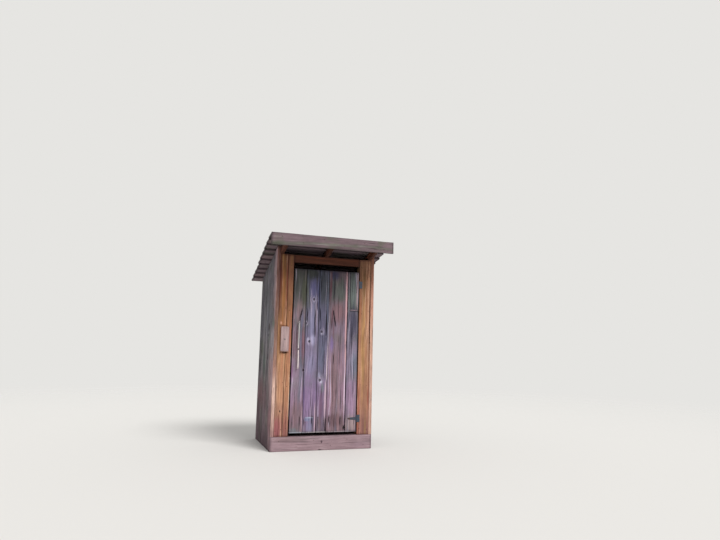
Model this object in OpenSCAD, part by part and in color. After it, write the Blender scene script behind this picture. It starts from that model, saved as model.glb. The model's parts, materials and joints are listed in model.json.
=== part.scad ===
// Small wooden outhouse with a shed roof that falls to the back.
// Millimetres. X runs to the right seen from the front, Y to the back, Z up.
// The origin is on the ground, under the centre of the overall box.

/* [Cabin] */
// Width over the outside of the side walls
cabin_w = 1220; // [1140:10:1500]
// Depth from the face of the jambs to the back of the back wall
cabin_d = 1020; // [900:10:1400]
// Thickness of the planks of the side walls, whose edges show at the front
side_plank_t = 38; // [32:1:45]
// Thickness of the planks of the back wall
plank_t = 25; // [19:1:32]
// Nominal width of a wall plank
plank_w = 200; // [140:10:300]
// Gap that has opened between neighbouring planks
plank_gap = 3; // [1:0.5:6]

/* [Frame] */
// Thickness of the sawn framing timber
timber_t = 38; // [35:1:50]
// Wide face of the sawn framing timber, and the side of a corner post
timber_w = 89; // [75:1:100]
// Height of the sill planks, which stand on edge on the ground
sill_h = 165; // [140:5:200]
// Thickness of the floor boards
floor_t = 25; // [19:1:32]
// Nominal width of a floor board
floor_board_w = 150; // [100:10:200]
// Number of floor joists
joist_count = 4; // [3:1:5]
// Height of the centre of the wall girts above the ground
girt_z = 1150; // [900:10:1400]

/* [Front] */
// Thickness of the jamb boards and the header board
jamb_t = 25; // [19:1:32]
// Width of the jamb board on the hinge side
right_jamb_w = 149; // [130:1:170]
// Width of the wide jamb board on the latch side
left_jamb_w = 97; // [92:1:120]
// Width of the narrow strip beside it
left_strip_w = 64; // [50:1:75]
// Joint between the wide jamb board and the strip
jamb_joint = 2; // [1:0.5:4]
// Width of the header board over the door
header_w = 89; // [75:1:100]

/* [Door] */
// Height of the door planks
door_h = 1907; // [1750:1:2000]
// Thickness of the door planks
door_t = 22; // [19:1:28]
// Gap between the door and the sill
sill_gap = 36; // [15:1:50]
// Gap between the door and the header
head_gap = 75; // [20:1:100]
// Gap between the door and the jamb on the hinge side
hinge_gap = 13; // [12:0.5:18]
// Gap between the door and the jamb on the latch side
latch_gap = 13; // [10:0.5:20]
// Width of the first door plank, on the latch side
board_1_w = 149; // [140:1:170]
// Width of the second door plank
board_2_w = 158; // [120:1:180]
// Width of the third door plank
board_3_w = 119; // [90:1:150]
// Width of the fifth door plank, on the hinge side
board_5_w = 137; // [125:1:160]
// Gap between the door planks
board_gap = 3; // [1:0.5:5]
// Width of the two ledges that the planks are nailed to
ledge_w = 140; // [90:5:180]
// Thickness of the ledges and the brace
ledge_t = 25; // [19:1:32]
// Width of the diagonal brace
brace_w = 100; // [70:5:140]
// Distance from the side of the door to the end of a ledge
ledge_inset = 25; // [15:1:60]
// Width of the patch board over the top of the fifth plank
patch_w = 108; // [90:1:120]
// Height of the patch board
patch_h = 472; // [400:1:600]
// Thickness of the patch board
patch_t = 12; // [8:1:16]

/* [Hinges] */
// Distance from the end of the door to the middle of a hinge
hinge_end = 152; // [110:1:220]
// Reach of the strap from the hinge pin to its tip
strap_l = 112; // [90:1:125]
// Width of the strap at the pin, and the length of its knuckle
strap_root_w = 38; // [30:1:45]
// Width of the strap at its round tip
strap_tip_w = 18; // [12:1:24]
// Height of the jamb leaf
leaf_h = 86; // [75:1:110]
// Reach of the jamb leaf from the hinge pin
leaf_w = 42; // [32:1:60]
// Thickness of the hinge metal
hinge_t = 2; // [1.5:0.1:3]
// Radius of the hinge pin
pin_r = 2.5; // [2:0.1:3]
// Radius of the knuckles
knuckle_r = 5; // [4.5:0.1:5.5]
// Running clearance of the pin in the strap's knuckle
pin_clearance = 0.06; // [0.03:0.01:0.1]
// Gap between neighbouring knuckles
knuckle_gap = 0.4; // [0.2:0.1:1]

/* [Handle and turn button] */
// Distance from the latch side of the door to the middle of the handle
handle_x = 70; // [66:1:90]
// Height of the handle's lower end above the bottom of the door
handle_z = 731; // [600:1:900]
// Length of the thick upper half of the handle
handle_upper_l = 322; // [250:1:400]
// Length of the thin lower half of the handle
handle_lower_l = 224; // [180:1:300]
// Radius of the thick half
handle_upper_r = 9; // [7:0.5:9.5]
// Radius of the thin half
handle_lower_r = 7; // [5:0.5:8]
// Room for fingers between the handle and the door
finger_gap = 22; // [15:1:30]
// Radius of the pegs that hold the handle off the door
peg_r = 4; // [3:0.5:5]
// Length of the turn button
button_l = 288; // [240:1:290]
// Width of the turn button
button_w = 92; // [60:1:95]
// Thickness of the turn button
button_t = 20; // [16:1:25]
// Radius of the turn button's whittled corners
button_corner_r = 8; // [4:1:12]
// Distance from the wall's outer side to the turn button's screw
button_x = 120; // [110:1:122]
// Height of the turn button's screw above the ground
button_z = 1270; // [1100:1:1400]
// Thickness of the washer that keeps the button off the jamb
washer_t = 6; // [5:0.5:10]
// Radius of the screw's shank
screw_r = 4; // [3:0.5:5]
// Depth of the screw in the jamb board
screw_depth = 16; // [10:1:17]

/* [Roof] */
// Fall of the roof towards the back, in degrees
pitch = 15.5; // [10:0.5:20]
// Reach of the roof in front of the jambs, with the fascia
front_reach = 300; // [200:10:400]
// Reach of the roof behind the back wall
back_reach = 150; // [80:10:250]
// Reach of the roof past each side wall
side_reach = 135; // [60:5:200]
// Number of rafters
rafter_count = 3; // [3:1:4]
// Width of a roof board
roof_board_w = 190; // [160:5:220]
// Thickness of a roof board
roof_board_t = 22; // [18:1:25]
// Smallest lap of a roof board over the one below it
roof_lap_min = 35; // [30:5:45]
// Distance from the edge of the roof to the rafters' back ends
tail_inset = 60; // [40:5:75]
// Thickness of the fascia board
fascia_t = 20; // [16:1:25]
// Height of the fascia board
fascia_h = 140; // [120:1:160]

/* [Hidden] */
$fn = 48;

// Clearance between pieces that lie close but don't touch
fit = 0.3;
// Thin slice that carries a cut past a face
cut = 1;
// Clearance of the walls and the blocking under the roof
roof_fit = 1;
// Clearance between the screw of the turn button and its holes
screw_fit = 0.08;
// Depth of the knuckles' backs behind the face of the door and the jamb
knuckle_set = 1;
// Room between the knuckles and the wide part of a jamb leaf
leaf_relief = 2;
// Thinnest part of the handle, as a share of its thin half
neck_share = 0.8;
// Length over which the handle swells, as a share of its thick half
swell_share = 0.25;

// Weathered timber of the walls, the door, the trim and the roof
wall_grey = "#8b8580";
door_grey = "#8d8492";
jamb_tan = "#b5854f";
frame_brown = "#8a6a4c";
header_brown = "#7c4a33";
steel_grey = "#6f7884";

// Heights of the front, stacked up from the ground
door_z = sill_h + sill_gap;
door_top = door_z + door_h;
header_z = door_top + head_gap;
header_top = header_z + header_w;

// Roof boards: even exposure, so that whole boards fill the slope
roof_run = front_reach - fascia_t + cabin_d + back_reach;
roof_slope_l = roof_run / cos(pitch);
roof_count = ceil((roof_slope_l - roof_board_w) / (roof_board_w - roof_lap_min)) + 1;
exposure = (roof_slope_l - roof_board_w) / (roof_count - 1);
board_tilt = asin(roof_board_t / exposure);
lip = roof_board_w * (cos(pitch - board_tilt) - cos(pitch)) + roof_board_t * sin(pitch - board_tilt);

// Depths, with the origin under the middle of the overall box
total_d = fascia_t + roof_run + lip;
front_y = front_reach - total_d / 2;
back_y = front_y + cabin_d;
fascia_back_y = front_y - front_reach + fascia_t;
frame_front_y = front_y + jamb_t;
frame_back_y = back_y - plank_t;
plate_y = frame_back_y - timber_t;
tail_y = back_y + back_reach - tail_inset;

// Widths
half_w = cabin_w / 2;
inner_x = half_w - side_plank_t;
roof_half_w = half_w + side_reach;
opening_left = -inner_x + left_jamb_w + jamb_joint + left_strip_w;
opening_right = inner_x - right_jamb_w;
door_left = opening_left + latch_gap;
door_right = opening_right - hinge_gap;
post_inner_x = inner_x - timber_w;

// Rafter lines: the underside meets the header's top at the front face
rafter_rise = timber_w / cos(pitch);
function rafter_bottom(y) = header_top - (y - front_y) * tan(pitch);
function rafter_top(y) = rafter_bottom(y) + rafter_rise;
plate_top = rafter_bottom(plate_y);

// Hinge pin, in the middle of the gap and just in front of the face
pin_x = (door_right + opening_right) / 2;
pin_y = front_y - knuckle_r + knuckle_set;
lower_hinge_z = door_z + hinge_end;
upper_hinge_z = door_top - hinge_end;

// Left edges and widths of the five door planks; the fourth takes what is left
board_4_w = door_right - door_left - board_1_w - board_2_w - board_3_w - board_5_w - 4 * board_gap;
board_w = [board_1_w, board_2_w, board_3_w, board_4_w, board_5_w];
function board_x(i) = i == 0 ? door_left : board_x(i - 1) + board_w[i - 1] + board_gap;

// Ledges, centred on the hinges
function ledge_bottom(z) = z - ledge_w / 2;
ledge_left = door_left + ledge_inset;
ledge_right = door_right - ledge_inset;

// Turn button
screw_x = -half_w + button_x;

// Box from one corner to the opposite one
module box(low, high) {
  translate(low) cube(high - low);
}

// Outline drawn in depth and height, pushed along X from x0 to x1
module side_profile(points, x0, x1) {
  translate([x0, 0, 0]) rotate([90, 0, 90]) linear_extrude(x1 - x0) polygon(points);
}

// Outline drawn in width and height, pushed along Y from y0 to y1
module front_profile(y0, y1) {
  translate([0, y1, 0]) rotate([90, 0, 0]) linear_extrude(y1 - y0) children();
}

// Row of boards that fills a span with even gaps: start and width of board i
function row_count(span, nominal) = max(1, round(span / nominal));
function row_w(span, nominal, gap) =
  (span - (row_count(span, nominal) - 1) * gap) / row_count(span, nominal);
function row_start(i, span, nominal, gap) = i * (row_w(span, nominal, gap) + gap);

// The front sill runs the full width, under the front edges of the side walls
module front_sill() {
  color(door_grey) box([-half_w, front_y, 0], [half_w, front_y + timber_t, sill_h]);
}

module back_sill() {
  color(frame_brown) box([-inner_x, plate_y, 0], [inner_x, frame_back_y, sill_h]);
}

module side_sill(side) {
  x0 = side > 0 ? inner_x - timber_t : -inner_x;
  color(frame_brown)
    box([x0, front_y + timber_t, 0], [x0 + timber_t, plate_y, sill_h]);
}

module floor_joists() {
  first = -inner_x + timber_t;
  step = (2 * inner_x - 3 * timber_t) / (joist_count - 1);
  color(frame_brown)
    for (i = [0 : joist_count - 1]) {
      x0 = first + i * step;
      box([x0, front_y + timber_t, sill_h - floor_t - timber_w],
          [x0 + timber_t, plate_y, sill_h - floor_t]);
    }
}

module floor_boards() {
  start = front_y + timber_t;
  span = plate_y - start;
  w = row_w(span, floor_board_w, plank_gap);
  color(wall_grey)
    for (i = [0 : row_count(span, floor_board_w) - 1]) {
      y0 = start + row_start(i, span, floor_board_w, plank_gap);
      box([-inner_x + timber_t, y0, sill_h - floor_t],
          [inner_x - timber_t, y0 + w, sill_h]);
    }
}

module corner_post(side, y0, top) {
  x0 = side > 0 ? post_inner_x : -inner_x;
  color(frame_brown) box([x0, y0, sill_h], [x0 + timber_w, y0 + timber_w, top]);
}

module door_stud(x0) {
  color(frame_brown)
    box([x0, frame_front_y, sill_h], [x0 + timber_t, frame_front_y + timber_w, header_z]);
}

module front_beam() {
  color(header_brown)
    box([-inner_x, frame_front_y, header_z], [inner_x, frame_front_y + timber_t, header_top]);
}

module back_plate() {
  color(frame_brown)
    box([-inner_x, plate_y, plate_top - timber_w], [inner_x, frame_back_y, plate_top]);
}

// Left side of rafter i
rafter_step = (2 * inner_x - timber_t) / (rafter_count - 1);
function rafter_x(i) = -inner_x + i * rafter_step;

// Blocks that close the gaps between the rafters over the back plate
module back_blocking() {
  color(frame_brown)
    for (i = [0 : rafter_count - 2])
      side_profile([[plate_y, plate_top], [frame_back_y, plate_top],
                    [frame_back_y, rafter_top(frame_back_y) - roof_fit],
                    [plate_y, rafter_top(plate_y) - roof_fit]],
                   rafter_x(i) + timber_t, rafter_x(i + 1));
}

module side_girt(side) {
  x0 = side > 0 ? inner_x - timber_t : -inner_x;
  color(frame_brown)
    box([x0, frame_front_y + timber_w, girt_z - timber_w / 2],
        [x0 + timber_t, frame_back_y - timber_w, girt_z + timber_w / 2]);
}

module back_girt() {
  color(frame_brown)
    box([-post_inner_x, plate_y, girt_z - timber_w / 2],
        [post_inner_x, frame_back_y, girt_z + timber_w / 2]);
}

// Side wall: vertical planks from the ground to the roof, cut to its slope.
// The first plank is notched over the end of the front sill.
module side_wall(side) {
  x0 = side > 0 ? inner_x : -half_w;
  w = row_w(cabin_d, plank_w, plank_gap);
  color(wall_grey)
    for (i = [0 : row_count(cabin_d, plank_w) - 1]) {
      y0 = front_y + row_start(i, cabin_d, plank_w, plank_gap);
      y1 = y0 + w;
      sill_back = y0 + timber_t;
      foot = i == 0 ? [[y0, sill_h], [sill_back, sill_h], [sill_back, 0]] : [[y0, 0]];
      head = [[y1, rafter_top(y1) - roof_fit], [y0, rafter_top(y0) - roof_fit]];
      side_profile(concat(foot, [[y1, 0]], head), x0, x0 + side_plank_t);
    }
}

// Back wall: planks between the side walls, up to the underside of the rafters
module back_wall() {
  span = 2 * inner_x;
  w = row_w(span, plank_w, plank_gap);
  color(wall_grey)
    for (i = [0 : row_count(span, plank_w) - 1]) {
      x0 = -inner_x + row_start(i, span, plank_w, plank_gap);
      box([x0, frame_back_y, 0], [x0 + w, back_y, rafter_bottom(back_y) - roof_fit]);
    }
}

module jamb_board(x0, w) {
  box([x0, front_y, sill_h], [x0 + w, frame_front_y, header_top]);
}

// The wide latch-side board takes the screw of the turn button
module left_jamb_board() {
  color(jamb_tan)
    difference() {
      jamb_board(-inner_x, left_jamb_w);
      translate([screw_x, front_y + screw_depth, button_z]) rotate([90, 0, 0])
        cylinder(r = screw_r + screw_fit, h = screw_depth + cut);
    }
}

module left_jamb_strip() {
  color(jamb_tan) jamb_board(opening_left - left_strip_w, left_strip_w);
}

module right_jamb_board() {
  color(jamb_tan) jamb_board(opening_right, right_jamb_w);
}

module header_board() {
  color(header_brown)
    box([opening_left, front_y, header_z], [opening_right, frame_front_y, header_top]);
}

// Rafter with a bird's mouth over the front beam and one over the back plate
module rafter(x0) {
  beam_back = frame_front_y + timber_t;
  side_profile([
    [fascia_back_y, rafter_bottom(fascia_back_y)],
    [front_y, header_top],
    [beam_back, header_top],
    [beam_back, rafter_bottom(beam_back)],
    [plate_y, plate_top],
    [frame_back_y, plate_top],
    [frame_back_y, rafter_bottom(frame_back_y)],
    [tail_y, rafter_bottom(tail_y)],
    [tail_y, rafter_top(tail_y)],
    [fascia_back_y, rafter_top(fascia_back_y)]
  ], x0, x0 + timber_t);
}

module rafters() {
  color(header_brown)
    for (i = [0 : rafter_count - 1])
      rafter(rafter_x(i));
}

// Lapped roof boards: each lies with its low edge on the board below it
module roof_boards() {
  color(wall_grey)
    for (i = [0 : roof_count - 1])
      translate([-roof_half_w, fascia_back_y, rafter_top(fascia_back_y)])
        rotate([-pitch, 0, 0])
          translate([0, i * exposure, 0])
            rotate([board_tilt, 0, 0])
              cube([2 * roof_half_w, roof_board_w, roof_board_t - fit]);
}

// The fascia's top is level with the top of the first roof board
module fascia_board() {
  top = rafter_top(fascia_back_y) + roof_board_t * cos(pitch - board_tilt);
  color(wall_grey)
    box([-roof_half_w, fascia_back_y - fascia_t, top - fascia_h], [roof_half_w, fascia_back_y, top]);
}

module door_board(i) {
  color(door_grey)
    box([board_x(i), front_y, door_z], [board_x(i) + board_w[i], front_y + door_t, door_top]);
}

module ledge(z) {
  y0 = front_y + door_t;
  color(door_grey)
    box([ledge_left, y0, ledge_bottom(z)], [ledge_right, y0 + ledge_t, ledge_bottom(z) + ledge_w]);
}

// Brace: rises from the hinge side of the lower ledge to the latch side of the upper one
module door_brace() {
  low = ledge_bottom(lower_hinge_z) + ledge_w;
  high = ledge_bottom(upper_hinge_z);
  y0 = front_y + door_t;
  color(door_grey)
    front_profile(y0, y0 + ledge_t)
      polygon([[ledge_right - brace_w, low], [ledge_right, low],
               [ledge_left + brace_w, high], [ledge_left, high]]);
}

// Flat outline of a hinge strap, with the pin at x = 0 and the tip to the left
module strap_outline(margin) {
  tip_r = strap_tip_w / 2 + margin;
  root = strap_root_w / 2 + margin;
  polygon([[-knuckle_r / 2, -root], [-knuckle_r / 2, root],
           [-strap_l + strap_tip_w / 2, tip_r], [-strap_l + strap_tip_w / 2, -tip_r]]);
  translate([-strap_l + strap_tip_w / 2, 0]) circle(r = tip_r);
}

// Patch board, housed out at the back over the upper hinge's strap
module door_patch() {
  color(door_grey)
    difference() {
      box([door_right - patch_w, front_y - patch_t, door_top - patch_h],
          [door_right, front_y, door_top]);
      front_profile(front_y - hinge_t - fit, front_y + cut)
        translate([pin_x, upper_hinge_z]) strap_outline(fit);
    }
}

// Strap leaf on the door: tapered plate and the middle knuckle
module hinge_strap(z) {
  half = strap_root_w / 2;
  color(steel_grey)
    difference() {
      union() {
        front_profile(front_y - hinge_t, front_y)
          translate([pin_x, z]) strap_outline(0);
        translate([pin_x, pin_y, z - half]) cylinder(r = knuckle_r, h = strap_root_w);
      }
      translate([pin_x, pin_y, z - half - cut])
        cylinder(r = pin_r + pin_clearance, h = strap_root_w + 2 * cut);
    }
}

// Jamb leaf: plate, the two outer knuckles and the pin through all three
module hinge_leaf(z) {
  half = leaf_h / 2;
  inner = strap_root_w / 2 + knuckle_gap;
  relief = knuckle_r + leaf_relief;
  color(steel_grey)
    union() {
      box([pin_x + relief, front_y - hinge_t, z - half], [pin_x + leaf_w, front_y, z + half]);
      for (side = [-1, 1]) {
        z0 = side > 0 ? z + inner : z - half;
        z1 = side > 0 ? z + half : z - inner;
        box([pin_x, front_y - hinge_t, z0], [pin_x + relief, front_y, z1]);
        translate([pin_x, pin_y, z0]) cylinder(r = knuckle_r, h = z1 - z0);
      }
      translate([pin_x, pin_y, z - half]) cylinder(r = pin_r, h = leaf_h);
    }
}

// Handle: a stick with a thick and a thin half, on three pegs
module door_handle() {
  x = door_left + handle_x;
  z0 = door_z + handle_z;
  z1 = z0 + handle_lower_l;
  z2 = z1 + handle_upper_l;
  y = front_y - finger_gap - handle_upper_r;
  neck_r = handle_lower_r * neck_share;
  swell_l = handle_upper_l * swell_share;
  low_peg_z = z0 + 2 * peg_r;
  high_peg_z = z2 - 3 * peg_r;
  color("#c9beb0")
    union() {
      translate([x, y, z0]) cylinder(r = handle_lower_r, h = handle_lower_l);
      translate([x, y, z1])
        rotate_extrude()
          polygon([[0, 0], [neck_r, 0], [handle_upper_r, swell_l],
                   [handle_upper_r, handle_upper_l - handle_upper_r / 2],
                   [handle_upper_r / 2, handle_upper_l], [0, handle_upper_l]]);
      for (z = [low_peg_z, z1, high_peg_z])
        translate([x, front_y, z]) rotate([90, 0, 0])
          cylinder(r = peg_r, h = front_y - y);
    }
}

// Turn button: a short board with rounded corners, upright at rest
module turn_button() {
  back = front_y - washer_t;
  flat_w = button_w - 2 * button_corner_r;
  flat_l = button_l - 2 * button_corner_r;
  color(door_grey)
    difference() {
      front_profile(back - button_t, back)
        translate([screw_x, button_z]) union() {
          square([button_w, flat_l], center = true);
          square([flat_w, button_l], center = true);
          for (sx = [-1, 1], sz = [-1, 1])
            translate([sx * flat_w / 2, sz * flat_l / 2]) circle(r = button_corner_r);
        }
      translate([screw_x, back + cut, button_z]) rotate([90, 0, 0])
        cylinder(r = screw_r + screw_fit, h = button_t + 2 * cut);
    }
}

// Screw of the turn button, with the washer behind the button and its head in front
module turn_button_screw() {
  washer_r = 3 * screw_r;
  head_h = screw_r;
  back = front_y - washer_t;
  front = back - button_t;
  color(steel_grey)
    translate([screw_x, 0, button_z]) rotate([90, 0, 0]) union() {
      translate([0, 0, -front_y - screw_depth])
        cylinder(r = screw_r, h = screw_depth - front + front_y + fit + head_h / 2);
      translate([0, 0, -front_y]) cylinder(r = washer_r, h = washer_t - fit);
      translate([0, 0, -front + fit]) cylinder(r1 = 2 * screw_r, r2 = screw_r, h = head_h);
    }
}

front_sill();
back_sill();
side_sill(-1);  // left_sill
side_sill(1);  // right_sill
floor_joists();
floor_boards();
corner_post(-1, frame_front_y, header_z);  // front_left_post
corner_post(1, frame_front_y, header_z);  // front_right_post
corner_post(-1, frame_back_y - timber_w, plate_top - timber_w);  // back_left_post
corner_post(1, frame_back_y - timber_w, plate_top - timber_w);  // back_right_post
door_stud(opening_left - timber_t);  // left_door_stud
door_stud(opening_right);  // right_door_stud
front_beam();
back_plate();
back_blocking();
side_girt(-1);  // left_girt
side_girt(1);  // right_girt
back_girt();
side_wall(-1);  // left_wall
side_wall(1);  // right_wall
back_wall();
left_jamb_board();
left_jamb_strip();
right_jamb_board();
header_board();
rafters();
roof_boards();
fascia_board();
door_board(0);  // door_board_1
door_board(1);  // door_board_2
door_board(2);  // door_board_3
door_board(3);  // door_board_4
door_board(4);  // door_board_5
door_patch();
ledge(upper_hinge_z);  // upper_ledge
ledge(lower_hinge_z);  // lower_ledge
door_brace();
door_handle();
hinge_strap(upper_hinge_z);  // upper_hinge_strap
hinge_strap(lower_hinge_z);  // lower_hinge_strap
hinge_leaf(upper_hinge_z);  // upper_hinge_leaf
hinge_leaf(lower_hinge_z);  // lower_hinge_leaf
turn_button();
turn_button_screw();
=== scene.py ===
import contextlib
import functools
import json
import math
import random

import bmesh
import bpy
from mathutils import Matrix, Vector, noise


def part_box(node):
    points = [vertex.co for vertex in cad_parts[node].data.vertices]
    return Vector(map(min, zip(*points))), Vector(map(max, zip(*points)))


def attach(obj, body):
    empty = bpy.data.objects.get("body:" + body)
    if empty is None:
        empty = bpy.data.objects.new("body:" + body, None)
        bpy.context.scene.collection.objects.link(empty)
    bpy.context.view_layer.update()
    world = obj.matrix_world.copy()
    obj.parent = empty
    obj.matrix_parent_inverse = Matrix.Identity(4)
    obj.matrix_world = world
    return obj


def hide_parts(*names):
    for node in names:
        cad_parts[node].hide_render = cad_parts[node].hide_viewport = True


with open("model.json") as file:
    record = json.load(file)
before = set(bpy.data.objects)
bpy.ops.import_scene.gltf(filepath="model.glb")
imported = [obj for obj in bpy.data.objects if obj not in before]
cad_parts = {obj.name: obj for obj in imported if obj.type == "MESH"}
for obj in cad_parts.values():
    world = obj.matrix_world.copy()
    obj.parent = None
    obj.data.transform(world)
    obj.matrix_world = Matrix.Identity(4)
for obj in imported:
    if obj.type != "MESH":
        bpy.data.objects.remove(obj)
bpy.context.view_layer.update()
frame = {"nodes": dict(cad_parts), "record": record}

bl_info = {
    "name": "Plank Outhouse",
    "version": (1, 0, 0),
    "blender": (4, 5, 0),
    "location": "View3D > Sidebar > Outhouse",
    "description": "Weathered boards, hinges, stick handle and turn button of a plank outhouse",
    "category": "Object",
}

BODY_OF = {node: body for body, nodes in frame["record"]["behaviour"]["bodies"].items()
           for node in nodes}

# Places that several pieces and finishes need, from the frame
FRONT_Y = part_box("right_jamb_board")[0].y
LEDGE_Z = [sum(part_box(node), Vector()).z / 2 for node in ("lower_ledge", "upper_ledge")]
# The rows of nails at the sill and at the girt
SILL_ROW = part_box("front_sill")[1].z - 0.05
GIRT_ROW = sum(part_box("left_girt"), Vector()).z / 2 + 0.02
# The handle is thin and worn below its joint, and thick and grey above it
HANDLE_JOINT = (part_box("door_handle")[0].z
                + (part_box("door_handle")[1].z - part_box("door_handle")[0].z) * 0.41)
# The photograph's camera: metres from the front's middle at the ground, then turn, pitch and roll
PHOTO_LOOK = (-1.827, -6.493, 1.140, 19.12, 8.31, 1.21)
FLOOR_R = 14.0

# What the shapes share: the way out of the front, a cylinder laid along it, where two nails stand
# on a plank's width, and how near a corner is to a side that it belongs to
OUT = (0, -1, 0)
LYING = (math.pi / 2, 0, 0)
PAIR = (0.21, 0.79)
NEAR = 0.001
# Corners of a plank that is notched over the sill
NOTCHED = 12
# Half of a check's cutter goes into the wood; the one for a hole goes through it
GROOVE, THROUGH = 0.016, 0.09
# The long crack of the right jamb board: across from the front's middle, height, width, length
JAMB_CRACK = (0.5625, 1.50, 0.005, 1.20)
# The knot hole between planks three and four: height over the door's foot, width, length
KNOT_HOLE = (0.08, 0.012, 0.17)
# The gap at the foot of planks four and five: height over the ground, width, length
FOOT_GAP = (0.257, 0.020, 0.042)
# Heights of the nails in the jamb boards
TRIM_ROWS = (0.25, 0.75, 1.62, 2.15)
# Half height of a strap's round tip
TIP_R = 0.009
# Framing timber is flatter and straighter than the weathered boards
STRAIGHT = {"cup": 0.3, "wave": 0.5}
DOOR_BACK = "#8a7d78"

# Settings that many shader nodes share. A MapRange node takes a value, where it begins and ends,
# and what it gives there.
SOFT = {"interpolation_type": "SMOOTHSTEP"}
BLEND = {"data_type": "RGBA", "out": "Result"}
# The materials, once they are made
FINISH = {}


def linear(code):
    """Linear colour of an sRGB hex code."""
    channels = [int(code[i:i + 2], 16) / 255 for i in (1, 3, 5)]
    return [c / 12.92 if c < 0.04045 else ((c + 0.055) / 1.055) ** 2.4 for c in channels]


def length(name, description, default):
    """A size in metres for the sidebar."""
    return bpy.props.FloatProperty(name=name, description=description, default=default,
                                   min=0.0, subtype="DISTANCE", unit="LENGTH", precision=4)


def colour(name, description, code):
    """A colour for the sidebar, from a hex code."""
    return bpy.props.FloatVectorProperty(name=name, description=description, default=linear(code),
                                         min=0.0, max=1.0, size=3, subtype="COLOR")


class OuthouseSizes(bpy.types.PropertyGroup):
    """Sizes of the wear and the small fittings."""
    edge_wear: length("Edge wear", "Rounding of the boards' edges", 0.0022)
    edge_wave: length("Edge wave", "How far a sawn edge wanders from straight", 0.0018)
    cup: length("Cup", "How far the middle of a board stands off its edges", 0.0012)
    ring_step: length("Ring step", "Distance between bends along a board", 0.06)
    nail_r: length("Nail head", "Radius of a nail head", 0.0042)
    screw_r: length("Screw head", "Radius of a hinge screw's head", 0.0046)
    wire_r: length("Wire", "Radius of the wire round the handle", 0.0011)
    plate: length("Hinge plate", "Thickness of the hinges' plates", 0.002)
    knuckle_r: length("Knuckle", "Radius of the hinges' knuckles", 0.005)
    arris: length("Metal edge", "Rounding of the edges of steel and washers", 0.0004)


class OuthouseColours(bpy.types.PropertyGroup):
    """Main colours of the finishes."""
    # The dark top colour of the door is partly painted shade over the upper planks
    door_top: colour("Door, top", "Dark grey of the planks under the header", "#33353a")
    door_middle: colour("Door, middle", "Lavender grey of the planks", "#72677b")
    door_low: colour("Door, low", "Mauve of the lower planks", "#947594")
    wall: colour("Wall", "Silver grey of the wall planks", "#777074")
    jamb: colour("Jamb", "Tan of the jamb boards", "#b4886a")
    # The header colour, which the rafters share, is darkened partly as painted shade
    header: colour("Header", "Red-brown of the header and rafters", "#573022")
    lumber: colour("Frame", "Brown of the framing under cover", "#8a6a4d")
    sill: colour("Sill", "Grey-pink of the front sill", "#a2898f")
    roof: colour("Roof", "Purplish grey of the roof boards and the fascia", "#78666c")
    button: colour("Turn button", "Pale pinkish grey of the turn button", "#b09796")
    steel: colour("Hinge steel", "Blue-grey of the hinges", "#4b5866")
    floor: colour("Floor", "Pale floor of the stage", "#dcdad6")


def sizes():
    """The sizes that the sidebar shows."""
    return bpy.context.scene.outhouse_sizes


def feed(node, links):
    """Gives the inputs of a node, in order or by name, a value or the output that feeds each."""
    for key, value in links.items() if isinstance(links, dict) else enumerate(links):
        if isinstance(value, bpy.types.NodeSocket):
            node.id_data.links.new(value, node.inputs[key])
        else:
            node.inputs[key].default_value = value


def add_node(tree, kind, links=(), out=0, **settings):
    """Adds a shader node with its settings and links; returns its output out, or else itself.
    kind is the type of node, with its operation after a blank."""
    kind, _, operation = kind.partition(" ")
    node = tree.nodes.new("ShaderNode" + kind)
    if operation:
        node.operation = operation
    for name, value in settings.items():
        setattr(node, name, value)
    feed(node, links)
    return node if out is None else node.outputs[out]


def new_material(name):
    """Empty node material; returns it, what adds nodes to it, and its principled shader."""
    material = bpy.data.materials.new(name)
    material.use_nodes = True
    tree = material.node_tree
    return material, functools.partial(add_node, tree), tree.nodes["Principled BSDF"]


def rgba(tone, gain=1.0):
    """Four channels from a hex code or a linear colour."""
    channels = linear(tone) if isinstance(tone, str) else tone
    return (*[min(1.0, c * gain) for c in channels], 1.0)


def stain(add, below, tone, pattern, low, high, amount=1.0, broken=1.0):
    """Lays a stain over a colour where a pattern passes from low to high; broken thins it."""
    reach = add("MapRange", [pattern, low, high, 0.0, amount], **SOFT)
    reach = add("Math MULTIPLY", [reach, broken])
    return add("Mix", {"Factor": reach, "A": below, "B": rgba(tone)}, **BLEND)


def marks_on(add, below, across, up, fray, marks, torn=3.2):
    """Lays listed marks over a colour, stains and some painted shade, shadows and highlights: soft
    ovals, frayed along the grain, more so with a greater torn. Each mark is across, up, half width,
    half height in mm, colour and strength."""
    point = add("CombineXYZ", [across, up])
    for *spot, code, amount in marks:
        x, z, wide, high = (value / 1000 for value in spot)
        arm = add("VectorMath MULTIPLY_ADD",
                  [point, (1 / wide, 1 / high, 0), (-x / wide, -z / high, 0)])
        reach = add("VectorMath LENGTH", [arm], "Value")
        reach = add("Math MULTIPLY_ADD", [fray, torn, reach])
        below = stain(add, below, code, reach, torn / 2 + 1.35, torn / 2 + 0.6, amount)
    return below


def streaks(add, lines, across, along, shift=(0.0, 0.0, 0.0)):
    """Noise drawn out along the grain, with so many waves to the metre across and along it."""
    moved = add("VectorMath ADD", [lines, shift])
    drawn = add("VectorMath MULTIPLY", [moved, (across, across, along)])
    return add("TexNoise", {"Vector": drawn, "Scale": 1.0, "Detail": 4.0, "Roughness": 0.6})


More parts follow.
